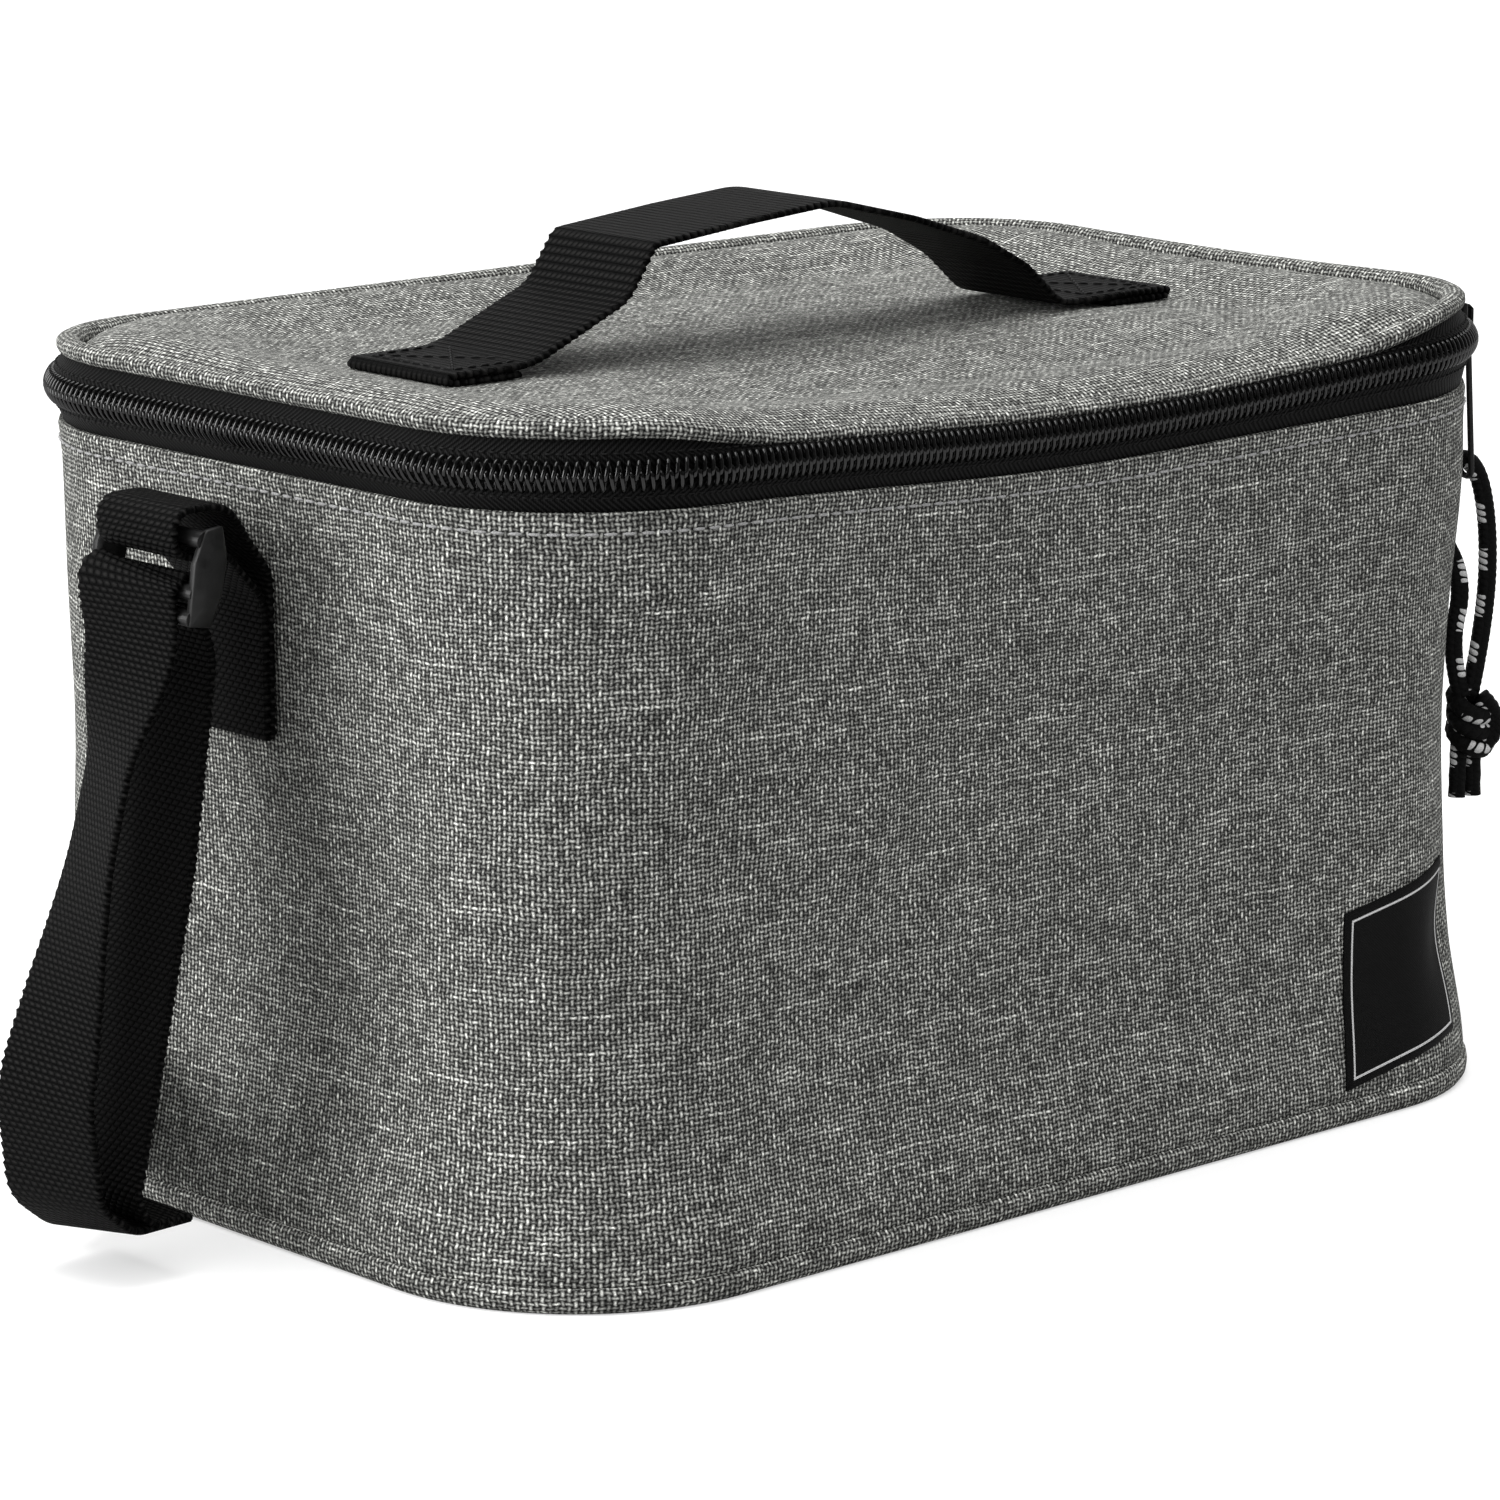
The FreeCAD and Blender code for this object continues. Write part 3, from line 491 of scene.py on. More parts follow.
class Value:
    """A node's output. Arithmetic with it adds a node."""

    def __init__(self, nodes, socket):
        self.nodes = nodes
        self.socket = socket

    def __add__(self, other):
        return self.nodes.math("ADD", self, other)

    def __sub__(self, other):
        return self.nodes.math("SUBTRACT", self, other)

    def __mul__(self, other):
        return self.nodes.math("MULTIPLY", self, other)

    def __truediv__(self, number):
        return self * (1 / number)

    def __pow__(self, other):
        return self.nodes.math("POWER", self, other)


class Nodes:
    """Nodes added to a tree by short calls, which take numbers or Values and give Values."""

    def __init__(self, owner):
        owner.use_nodes = True
        self.tree = owner.node_tree

    def put(self, socket, value):
        if isinstance(value, Value):
            self.tree.links.new(value.socket, socket)
        else:
            socket.default_value = value

    def add(self, kind, values, output=0, **settings):
        """One output of a new node."""
        node = self.tree.nodes.new(kind)
        for key, value in settings.items():
            setattr(node, key, value)
        for key, value in values.items():
            self.put(node.inputs[key], value)
        return Value(self, node.outputs[output])

    def math(self, operation, a, b=0.0):
        return self.add("ShaderNodeMath", {0: a, 1: b}, operation=operation)

    def floor(self, a):
        return self.math("FLOOR", a)

    def fract(self, a):
        return self.math("FRACT", a)

    def parity(self, a):
        return self.math("FLOORED_MODULO", a, 2.0)

    def hump(self, a, power=1.0):
        """1 in the middle of each unit step of a, and 0 at its ends."""
        wave = self.math("COSINE", (self.fract(a) - 0.5) * math.pi)
        return wave if power == 1.0 else wave**power

    def pick(self, share, a, b):
        """a where share is 0 and b where it is 1."""
        return self.math("ADD", a, share * self.math("SUBTRACT", b, a))

    def mix(self, share, a, b):
        """Colour a where share is 0 and b where it is 1."""
        return self.add("ShaderNodeMix", {0: share, 6: a, 7: b}, 2, data_type="RGBA")

    def vector(self, x, y, z=0.0):
        return self.add("ShaderNodeCombineXYZ", {0: x, 1: y, 2: z})

    def split(self, vector):
        parts = self.add("ShaderNodeSeparateXYZ", {0: vector}).socket.node.outputs
        return [Value(self, part) for part in parts]

    def noise(self, vector, scale=1.0, detail=2.0, rough=0.5):
        values = {"Vector": vector, "Scale": scale, "Detail": detail, "Roughness": rough}
        return self.add("ShaderNodeTexNoise", values, "Fac")

    def speck(self, vector):
        return self.add("ShaderNodeTexWhiteNoise", {"Vector": vector}, "Value")

    def cells(self, vector, scale):
        return self.add("ShaderNodeTexVoronoi", {"Vector": vector, "Scale": scale}, "Distance")

    def ramp(self, share, stops):
        colour = self.add("ShaderNodeValToRGB", {"Fac": share}, "Color")
        marks = colour.socket.node.color_ramp.elements
        while len(marks) < len(stops):
            marks.new(0.5)
        for mark, (place, shade) in zip(marks, stops):
            mark.position = place
            mark.color = (*shade, 1)
        return colour

    def shade(self, colour, share):
        """A colour or vector times a share."""
        return self.add("ShaderNodeVectorMath", {0: colour, "Scale": share}, operation="SCALE")

    def ray(self, kind):
        return self.add("ShaderNodeLightPath", {}, f"Is {kind} Ray")

    def uv(self):
        return self.split(self.add("ShaderNodeUVMap", {}, uv_map="UVMap"))[:2]

    def place(self):
        """The object's own coordinates in millimetres."""
        return self.shade(self.add("ShaderNodeTexCoord", {}, "Object"), 1 / MM)


class Shader(Nodes):
    """A material with one Principled surface."""

    def __init__(self, name):
        self.material = bpy.data.materials.new(name)
        super().__init__(self.material)
        self.surface = self.tree.nodes["Principled BSDF"]

    def finish(self, colour, roughness, height=None, depth=0.2, strength=1.0, **others):
        """Sets the surface's sockets. Depth is the relief's depth in millimetres."""
        sockets = {"Base Color": colour, "Roughness": roughness}
        if height is not None:
            relief = {"Height": height, "Strength": strength, "Distance": depth * MM}
            sockets["Normal"] = self.add("ShaderNodeBump", relief)
        for key, value in others.items():
            sockets[key.replace("_", " ")] = value
        for key, value in sockets.items():
            self.put(self.surface.inputs[key], value)
        return self.material


def grey(value, warm=0.0):
    return (value * (1 + warm), value, value * (1 - warm))


WARP = 1.06
WEFT = 0.96


def melange_fabric():
    """Plain weave of grey yarns: upright dashes between darker level ones, with pale slubs, and painted
    shade in the gaps between the yarns.
    """
    m = Shader("melange_fabric")
    u, v = m.uv()
    wander = (m.noise(m.vector(u * 0.05, v * 0.05), detail=1.0) - 0.5) * 1.6
    jitter_u = (m.noise(m.vector(u * 0.12, v * 0.5)) - 0.5) * 0.9
    jitter_v = (m.noise(m.vector(u * 0.5, v * 0.12, 9.0)) - 0.5) * 0.9
    cu = (u + wander + jitter_u) / WARP
    cv = (v + jitter_v - wander) / WEFT
    iu = m.floor(cu)
    iv = m.floor(cv)
    up = (cv + iu + 0.5) * 0.5
    across = (cu + iv + 1.5) * 0.5
    upright = m.hump(cu, 1.6) * m.hump(up, 1.2)
    level = m.hump(cv, 1.6) * m.hump(across, 1.2)
    warp = m.noise(m.vector(iu * 4.7, v * 0.16), rough=0.6)
    warp = warp * 0.45 + m.speck(m.vector(iu, m.floor(up))) * 0.2 + 0.225
    weft = m.noise(m.vector(u * 0.1, iv * 4.7, 31.0), rough=0.6)
    weft = weft * 0.45 + m.speck(m.vector(m.floor(across), iv, 5.0)) * 0.2 + 0.125
    slub = m.noise(m.vector(u * 0.06, iv * 7.3, 77.0), detail=0.0)
    weft = weft + m.math("GREATER_THAN", slub, 0.69) * 0.15
    fibre = m.noise(m.vector(u * 2.6, v * 2.6))
    patch = m.noise(m.vector(u * 0.025, v * 0.025))
    tone = m.pick(m.math("GREATER_THAN", upright, level), weft, warp)
    tone = tone + (fibre - 0.5) * 0.5 + (patch - 0.5) * 0.06
    stops = [(0.28, 0.06), (0.42, 0.16), (0.54, 0.31), (0.66, 0.52), (0.8, 0.85)]
    colour = m.ramp(tone, [(place, (pale, pale * 1.01, pale * 0.95)) for place, pale in stops])
    bead = m.math("MAXIMUM", upright, level)
    # Painted shade: the colour falls off from each yarn's crown into near black in the gaps between the
    # yarns.
    colour = m.shade(colour, bead**2.2 * 1.55 + 0.01)
    return m.finish(colour, 0.9, bead + fibre * 0.4, 0.28, 0.7, Specular_IOR_Level=0.2)


def webbing(name, rib, strand, lean, twisted):
    """Black webbing: ribs across it, parted into leaning strands by the share that is twisted, with
    painted shade in the grooves between them.
    """
    m = Shader(name)
    along, across = m.uv()
    row = along / rib
    shift = m.fract(row) * lean + m.parity(m.floor(row)) * 0.5
    twist = m.hump(across / strand + shift, 0.6)
    bead = m.hump(row, 0.6) * (twist * twisted + (1 - twisted))
    fibre = m.noise(m.vector(along * 4.0, across * 4.0))
    stops = [(0.25, grey(0.0004)), (0.7, grey(0.003)), (1.0, grey(0.015, 0.03))]
    # Painted shade: the colour is darker in the grooves between ribs and strands and lighter on their
    # crowns.
    colour = m.ramp(bead * 0.8 + fibre * 0.3, stops)
    return m.finish(colour, fibre * 0.2 + 0.5, bead + fibre * 0.15, 0.45, Specular_IOR_Level=0.05)


def zipper_tape():
    """Black tape in a herringbone twill, with painted shade in the grooves between its ribs."""
    m = Shader("black_tape")
    u, v = m.uv()
    rib = m.hump((u + m.math("PINGPONG", v, 3.4)) / 1.25)
    yarn = m.hump(u / 0.42)
    fibre = m.noise(m.vector(u, v), scale=3.0)
    stops = [(0.25, grey(0.0004)), (0.65, grey(0.002)), (1.0, grey(0.014))]
    # Painted shade: the colour follows the ribs and is darker in the grooves between them.
    colour = m.ramp(rib * 0.6 + yarn * 0.15 + fibre * 0.3, stops)
    return m.finish(colour, 0.6, rib + yarn * 0.3, 0.22, Specular_IOR_Level=0.1)


def coil_plastic():
    m = Shader("black_coil")
    wear = m.noise(m.place(), scale=0.8, detail=3.0)
    colour = m.ramp(wear, [(0.3, grey(0.0015)), (0.75, grey(0.005))])
    return m.finish(colour, wear * 0.14 + 0.06, wear, 0.05, 0.3, Specular_IOR_Level=0.6)


def moulded_plastic():
    m = Shader("black_plastic")
    spot = m.place()
    grain = m.noise(spot, scale=9.0)
    scuff = m.noise(spot, scale=0.35, detail=4.0, rough=0.7)
    colour = m.ramp(scuff, [(0.35, grey(0.004)), (0.75, grey(0.011))])
    return m.finish(colour, scuff * 0.26 + 0.26, grain, 0.05, 0.35, Specular_IOR_Level=0.3)


def painted_metal():
    m = Shader("slider_metal")
    spot = m.place()
    chips = m.noise(spot, scale=1.1, detail=5.0, rough=0.75)
    fine = m.noise(spot, scale=12.0)
    colour = m.ramp(chips, [(0.3, grey(0.012)), (0.68, grey(0.03)), (0.82, grey(0.12))])
    return m.finish(colour, fine * 0.22 + 0.28, fine, 0.03, 0.3, Metallic=0.75)


def foil():
    """Crinkled silver film, with painted shade in the crinkles' hollows."""
    m = Shader("foil")
    spot = m.place()
    ripple = m.noise(spot, scale=0.22, detail=4.0, rough=0.6)
    fine = m.noise(spot, scale=2.2)
    height = m.cells(spot, 0.16) * 0.7 + ripple + fine * 0.06
    # Painted shade: the colour is darker in the crinkles' hollows and paler on their crests.
    colour = m.ramp(ripple, [(0.25, grey(0.5, 0.01)), (0.75, grey(0.72, 0.005))])
    return m.finish(colour, fine * 0.16 + 0.24, height, 0.9, 0.7, Metallic=1.0)


def foam():
    m = Shader("foam")
    spot = m.place()
    pores = m.cells(spot, 1.4)
    cloud = m.noise(spot, scale=0.1, detail=3.0)
    # Painted shade: the pores that the bump sinks in are darker; the cloud adds tone that differs at
    # random.
    colour = m.ramp(pores * 0.5 + cloud * 0.5, [(0.2, grey(0.45)), (0.8, grey(0.72))])
    return m.finish(colour, 0.9, pores, 0.35, 0.7)


LABEL_BORDER = 2.0
LABEL_LINE = 0.5


def label_cloth(width, height):
    """Black satin weave with one plain pale line woven round it."""
    m = Shader("label_cloth")
    u, v = m.uv()
    du = m.math("ABSOLUTE", u) - (width / 2 - LABEL_BORDER)
    dv = m.math("ABSOLUTE", v) - (height / 2 - LABEL_BORDER)
    edge = m.math("ABSOLUTE", m.math("MAXIMUM", du, dv))
    line = m.math("LESS_THAN", edge, LABEL_LINE / 2)
    rib = m.hump(v / 0.3)
    # Painted shade: the rib term makes the grooves between the ribs darker on the black cloth and the pale
    # line; the noise term is random tone.
    shade = rib * 0.3 + m.noise(m.vector(u * 2.4, v * 0.6)) * 0.6
    dark = m.ramp(shade, [(0.2, grey(0.003)), (0.9, grey(0.009))])
    pale = m.ramp(shade, [(0.2, grey(0.4)), (0.8, grey(0.8))])
    colour = m.mix(line, dark, pale)
    return m.finish(colour, 0.55, rib + line * 0.8, 0.1, 0.8, Specular_IOR_Level=0.07)


CORD_R = 2.0
CORD_COLUMNS = 4
CORD_ROW = 1.5
FLECK_EVERY = 10.0
FLECK_RUN = 4.6


def cord_braid():
    """Black braid with groups of white flecks along it."""
    m = Shader("flecked_cord")
    along, around = m.uv()
    turn = around * (CORD_COLUMNS / (2 * math.pi * CORD_R))
    column = m.floor(turn)
    bead = m.hump(turn, 0.6) * m.hump(along / CORD_ROW + m.fract(turn) * 0.5, 0.8)
    group = m.math("FLOORED_MODULO", along + column * 2.9, FLECK_EVERY)
    seen = m.math("LESS_THAN", group, FLECK_RUN) * m.math("LESS_THAN", m.parity(column), 0.5)
    fibre = m.noise(m.vector(along, around), scale=5.0)
    dark = m.ramp(fibre, [(0.3, grey(0.002)), (0.75, grey(0.009))])
    pale = m.ramp(fibre, [(0.3, grey(0.35)), (0.7, grey(0.7))])
    colour = m.mix(seen * m.math("GREATER_THAN", bead, 0.45), dark, pale)
    return m.finish(colour, 0.7, bead + fibre * 0.2, 0.35, 0.8, Specular_IOR_Level=0.1)


def thread(name, low, high):
    m = Shader(name)
    twist = m.noise(m.place(), scale=4.0)
    colour = m.ramp(twist, [(0.3, grey(low)), (0.7, grey(high))])
    return m.finish(colour, 0.6, twist, 0.1, 0.6, Specular_IOR_Level=0.25)


# Each look is a slot and a material.
FABRIC = ("melange_fabric", melange_fabric())
HANDLE_WEBBING = ("black_webbing", webbing("handle_webbing", 1.8, 1.5, 0.6, 0.55))
STRAP_WEBBING = ("black_webbing", webbing("strap_webbing", 1.1, 1.9, 0.35, 0.7))
TAPE = ("black_tape", zipper_tape())
COIL = ("black_coil", coil_plastic())
PLASTIC = ("black_plastic", moulded_plastic())
METAL = ("slider_metal", painted_metal())
FOIL = ("foil", foil())
FOAM = ("foam", foam())
CORD = ("flecked_cord", cord_braid())
HEM_THREAD = ("melange_fabric", thread("grey_thread", 0.2, 0.44))
BLACK_THREAD = thread("black_thread", 0.001, 0.005)
TAPE_THREAD = ("black_tape", BLACK_THREAD)
WEBBING_THREAD = ("black_webbing", BLACK_THREAD)


def dress(obj, look, *nodes):
    """Gives a finished object its look's material, and hides the model's nodes that it stands for."""
    slot, material = look
    obj.data.materials.clear()
    obj.data.materials.append(material)
    if nodes:
        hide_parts(*nodes)
    return obj


def piece(obj, body, look, *nodes):
    """A dressed object that moves with one body."""
    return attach(dress(obj, look, *nodes), body)


# Body of the bag
HEM_Z = WALL_TOP - 3.6
FOOT_OUT = 2.1


def wall_off(z):
    """How far the wall stands out over its foot."""
    return FOOT_OUT - FOOT_OUT * smooth(FOOT, 45, z)


def wall_profile():
    outside = [(1.5, 4.2), (1.9, 5.2), (FOOT_OUT, 6.6)]
    outside += [(wall_off(z), z) for z in stations(9, WALL_TOP - 7, 2.5)]
    outside += [(0.15, HEM_Z - 1.2), (0.0, HEM_Z), (0.25, HEM_Z + 1.2)]
    outside += [(0.4, WALL_TOP - 0.8), (0.1, WALL_TOP + 0.2)]
    inside_face = [(-0.6, WALL_TOP + 0.3), (-1.1, WALL_TOP - 0.4)]
    inside_face += [(-1.2, z) for z in (110, 60, 20, 4.2)]
    return outside + inside_face


def make_body():
    wall = ring("wall_shell", wall_profile(), FINE_RING)
    piece(wall, "bag", FABRIC, "outer_wall")
    hem = ring_stitches("hem_stitches", stations(0, PERIMETER, 3.4)[:-1], 2.5, 0.15, HEM_Z, 0.3)
    piece(hem, "bag", HEM_THREAD)
    lip = [(-1.6, 3.2), (0.6, 4.2), (1.7, 5.0), (2.3, 4.9), (2.7, 4.2), (2.9, 2.8), (2.7, 1.2), (2.0, 0.2)]
    lip += [(-6, 0.0), (-6, 1.4)]
    piece(ring("bottom_lip", lip), "bag", FABRIC, "bottom_panel")
    shares = (0, 0.3, 0.6, 0.85, 1)
    floor = disc("bottom_sheet", [(-5.5, share, 0.15 + 0.5 * (1 - share)) for share in shares])
    piece(floor, "bag", FABRIC, "bottom_panel")
    levels = stations(8, 140, 4)
    padding = [(-1.9, z) for z in levels] + [(-2, 145.4), (-4.8, 145.4)]
    padding += [(-5.3, z) for z in reversed(levels)]
    piece(ring("wall_padding", padding), "bag", FOAM, "wall_foam")
    piece(slab("base_padding", -1.8, 1.9, 6.3), "bag", FOAM, "base_foam")


def slab(name, off, low, high):
    """A block of foam with rounded edges, between two heights."""
    sides = [(0, low), (0.5, low), (0.98, low), (1, low + 0.7)]
    sides += [(1, high - 0.7), (0.98, high), (0.5, high), (0, high)]
    return disc(name, [(off, share, z) for share, z in sides])


def crinkle(p, amount):
    """A small push along the direction to the bag's middle, for film that isn't flat."""
    push = noise.noise(p / 17) + 0.5 * noise.noise(p / 6)
    inward = Vector((-p.x, -p.y, 0)).normalized()
    return p + inward * amount * (push + 0.4)


def make_liner():
    side = [(-6.4, z) for z in (144.5, 140, 132, 122, 110, 98, 86, 74, 62, 50, 38, 28, 20)]
    side += [(-6.6, 14), (-7.4, 10.4), (-9.4, 8.4), (-12, 7.9)]
    rows = [[crinkle(on_wall(s, off, z), 0.7) for off, z in side] for s in RING]
    film = grid("liner_walls", rows, RING + [PERIMETER], lengths(side), True, False)
    piece(film, "bag", FOIL, "foil_liner")
    shares = (1, 0.86, 0.7, 0.5, 0.3, 0.1, 0)
    floor = disc("liner_floor", [(-11.5, share, 7.9 + 0.25 * math.sin(9 * share)) for share in shares])
    piece(floor, "bag", FOIL, "foil_liner")
    top = ZIP_MID - 6.1
    edge = [(-6.6, 11.4), (-6.5, 1.6), (-1.7, 1.1), (-1.5, 0.3), (-2.2, 0)]
    edge += [(-7.2, 0), (-8.0, 0.8), (-8.1, 6), (-8.0, 11.2), (-7.4, 11.6)]
    tape = ring("mouth_tape", [(off, top - fall) for off, fall in edge])
    piece(tape, "bag", TAPE, "mouth_binding")


# Zipper
TAPE_OUT = 1.0


def tape_profile(outer, inner):
    """A thin strip between the sewn edge and the coil, which stands further out."""
    way = math.copysign(1, inner - outer)
    rise = [(-0.75, outer), (-0.3, outer + way * 1.6), (0.9, inner - way * 2.6), (TAPE_OUT, inner)]
    back = [(off - 0.75, z) for off, z in reversed(rise)]
    return rise + back if way > 0 else list(reversed(rise)) + list(reversed(back))


COIL_PITCH = 1.75
LOOP_R = 0.42
LEG_IN = 0.75
LEG_OUT = 2.7
LEG_FALL = 1.3
LOOP_TOP = 2.8
LOOP_HEAD = -0.7


def loop_points(upper):
    """One turn of the coil as place along it, offset and height from the zipper's middle."""
    span = LOOP_TOP - LOOP_HEAD
    front = [LOOP_HEAD + span * (0.12 + 0.76 * k / 4) for k in range(5)]
    turn = [(LEG_OUT - LEG_FALL * (z / LOOP_TOP) ** 2, z) for z in front]
    turn += [(LEG_OUT - LEG_FALL - 0.3, LOOP_TOP), (LEG_IN + 0.1, LOOP_TOP - 0.2)]
    turn += [(LEG_IN, z) for z in reversed(front[1:4])]
    turn += [(LEG_IN + 0.2, LOOP_HEAD + 0.15), (LEG_OUT - 0.6, LOOP_HEAD)]
    way = 1 if upper else -1
    return [(COIL_PITCH * k / len(turn), off, z * way) for k, (off, z) in enumerate(turn)]


def make_coil(name, upper):
    """A row of teeth wound from one filament, which leans in each turn."""
    count = int((ZIP_STOP - ZIP_START - 4) / COIL_PITCH)
    line = []
    for k in range(count):
        s = ZIP_START + 2 + COIL_PITCH * (k + (0.5 if upper else 0))
        line += [on_wall(s + ds, off, ZIP_MID + z) for ds, off, z in loop_points(upper)]
    return tube(name, line, LOOP_R, 6)


def make_zipper():
    lower = band("tape_low", tape_profile(WALL_TOP - 0.6, ZIP_MID - 0.5), ZIP_START, ZIP_STOP)
    piece(lower, "bag", TAPE, "zipper_tape_lower")
    upper = band("tape_high", tape_profile(ZIP_MID + 6.8, ZIP_MID + 0.5), ZIP_START, ZIP_STOP)
    piece(upper, "lid", TAPE, "zipper_tape_upper")
    piece(make_coil("coil_low", False), "bag", COIL, "zipper_coil_lower")
    piece(make_coil("coil_high", True), "lid", COIL, "zipper_coil_upper")
    places = stations(ZIP_START + 3, ZIP_STOP - 3, 2.0)
    for name, body, rise in (("coil_thread_low", "bag", -3.9), ("coil_thread_high", "lid", 3.9)):
        piece(ring_stitches(name, places, 1.3, 0.55, ZIP_MID + rise, 0.2), body, TAPE_THREAD)
    make_gusset()


def make_gusset():
    """The cloth hinge at the back, between the zipper's two ends."""
    low = WALL_TOP - 0.4
    high = ZIP_MID + 6.9
    tall = [low + (high - low) * k / 10 for k in range(11)]
    skin = [(-0.4 + 0.5 * math.sin(math.pi * k / 10), z) for k, z in enumerate(tall)]
    skin += [(off - 0.9, z) for off, z in reversed(skin)]
    gusset = band("hinge_cloth", skin, ZIP_STOP + 0.4, PERIMETER + ZIP_START - 0.4, 2.5)
    dress(gusset, FABRIC, "hinge_panel")
    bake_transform(gusset)


# Lid
RIM_LOW = ZIP_MID + 6.3
RIM_TOP = ZIP_MID + 9.8
SEAM_OFF = -5.0
SEAM_Z = ZIP_MID + 6.6
PUFF = 2.4
PUFF_LEFT = 1.2
PUFF_BACK = 1.2
SAG = 5.15
SAG_RIGHT = 0.9


def panel_lift(x, y, share):
    """Height of the lid's panel over its seam: puffed along the seam and pressed down under the handle."""
    away = (1 - share) * (HALF_D + SEAM_OFF)
    puff = PUFF + PUFF_LEFT * smooth(-20, 90, -x) + PUFF_BACK * smooth(10, 50, y)
    ripple = 0.45 * noise.noise(Vector((x / 38, share * 2.4, 3)))
    sag = (SAG + SAG_RIGHT * x / HALF_W) * smooth(8, 34, away)
    return (puff + ripple) * (1 - math.exp(-away / 4)) - sag


def on_panel(spot, share, z):
    """Lift of the layers near the seam's height, which follow the panel."""
    return panel_lift(spot.x, spot.y, share) if z > SEAM_Z - 2 else 0


def lid_surface(x):
    """Height of the lid's panel on its long middle line."""
    share = max(abs(x) - SPINE, 0) / (HALF_W + SEAM_OFF - SPINE)
    _, up = settle(RIGHT_MID if x > 0 else LEFT_MID, ZIP_MID)
    return SEAM_Z + panel_lift(x, 0, share) + up * share**2


def make_lid():
    roll = [(-0.6, RIM_LOW), (0.0, RIM_LOW + 0.5), (0.4, RIM_LOW + 1.4), (0.3, RIM_LOW + 2.4)]
    roll += [(-0.3, RIM_TOP - 0.5), (-1.4, RIM_TOP), (-2.6, RIM_TOP - 0.1), (-3.7, RIM_TOP - 0.7)]
    roll += [(-4.3, RIM_TOP - 1.7), (-4.5, SEAM_Z - 0.6), (-4.2, RIM_LOW)]
    piece(ring("rim_roll", roll, FINE_RING), "lid", FABRIC, "lid_border")
    shares = [0.0, 0.1, 0.2, 0.3, 0.4, 0.5, 0.56, 0.62, 0.68, 0.74, 0.79, 0.84, 0.88]
    shares += [0.915, 0.945, 0.97, 0.985, 1.0]
    panel = disc("lid_cloth", [(SEAM_OFF + 0.7, share, SEAM_Z) for share in shares], on_panel)
    piece(panel, "lid", FABRIC, "lid_top_panel")
    padding = disc("lid_padding", lid_padding(), on_panel)
    piece(padding, "lid", FOAM, "lid_foam")
    floor = ZIP_MID + 0.7
    shares = (0, 0.1, 0.3, 0.5, 0.7, 0.85, 0.95, 0.985)
    tray = [(-6.2, share, floor + 0.15 * math.sin(12 * share)) for share in shares]
    tray += [(-6.1, 1, floor + rise) for rise in (0.5, 2, 3.5, 5)]
    piece(disc("lid_film", tray), "lid", FOIL, "lid_liner")
    edge = [(-5.7, 4.7), (-3.0, 4.7), (-2.7, 5.2), (-3.0, 5.8), (-5.7, 5.8), (-6.0, 5.2)]
    tape = ring("lid_edge_tape", [(off, ZIP_MID + rise) for off, rise in edge])
    piece(tape, "lid", TAPE, "lid_binding")


def lid_padding():
    """Layers of the lid's foam, whose upper side follows the panel."""
    low = ZIP_MID + 1.3
    under = [(-7.0, share, low) for share in (0, 0.3, 0.5, 0.7, 0.85, 0.98)]
    under += [(-7.0, 1, low + 0.6), (-7.0, 1, low + 2.6)]
    over = [0.98, 0.94, 0.88, 0.79, 0.68, 0.56, 0.4, 0.2, 0]
    return under + [(-7.0, share, SEAM_Z - 0.8) for share in over]


# Webbing
WEB_T = 1.3
STRAP_W = 25
HANDLE_W = 30
PLY = 1.4
INNER_PLY = HALF_W + 0.3 + WEB_T / 2
OUTER_PLY = INNER_PLY + PLY
BAR_X = -HALF_W - 22
BAR_Z = ZIP_MID - 15.5
BAR_MID_Z = ZIP_MID - 25
LOW_BAR_Z = ZIP_MID - 29.5
BELT_LOW = 8
BELT_HIGH = 33


def box_stitch(x0, x1, z, half):
    """Stitches in a box with a cross, on a flat piece of webbing that faces up."""
    corners = [Vector((x, y, z)) for x, y in ((x0, -half), (x1, -half), (x1, half), (x0, half))]
    runs = [corners + corners[:1], corners[0::2], corners[1::2]]
    return [row for run in runs for row in stitch_line(run, Vector((0, 0, 1)), 2.4, 0.5)]


def make_handle():
    end = HALF_W - 36
    fold = PLY / 2
    left = lid_surface(-end + 12) + 0.2 + WEB_T / 2
    right = lid_surface(end - 12) + 0.2 + WEB_T / 2
    path = [(-end + 17, left, 0), (-end, left, fold)]
    path += [(-end, left + PLY, fold), (-end + 20, left + PLY, 22)]
    arch = [(-end + 44, 9.2, 9), (-end + 51, 18.9, 3), (-end + 76, 21.3, 50), (2, 22.9, 25)]
    arch += [(end - 72, 17.6, 50), (end - 53, 11.6, 30), (end - 41, 5.2, 15)]
    path += [(x, LID_CREST + rise, radius) for x, rise, radius in arch]
    path += [(end - 31, right + PLY, 8), (end, right + PLY, fold)]
    path += [(end, right, fold), (end - 17, right, 0)]
    strap = strip("handle_webbing", rounded(path, 0.45), HANDLE_W, WEB_T)
    piece(strap, "lid", HANDLE_WEBBING, "carry_handle")
    rise = PLY + WEB_T / 2
    rows = box_stitch(-end + 3, -end + 22, left + rise, 12)
    rows += box_stitch(end - 22, end - 3, right + rise, 12)
    piece(stitches("handle_stitches", rows, 0.28), "lid", WEBBING_THREAD)


def outer_twist(z):
    """How the strap's free run turns: its front edge leans out high up and in near the floor."""
    lean = (-8 + 28 * smooth(30, 85, z)) * (1 - smooth(94, 116, z)) - 7 * smooth(110, 126, z)
    return math.radians(lean)


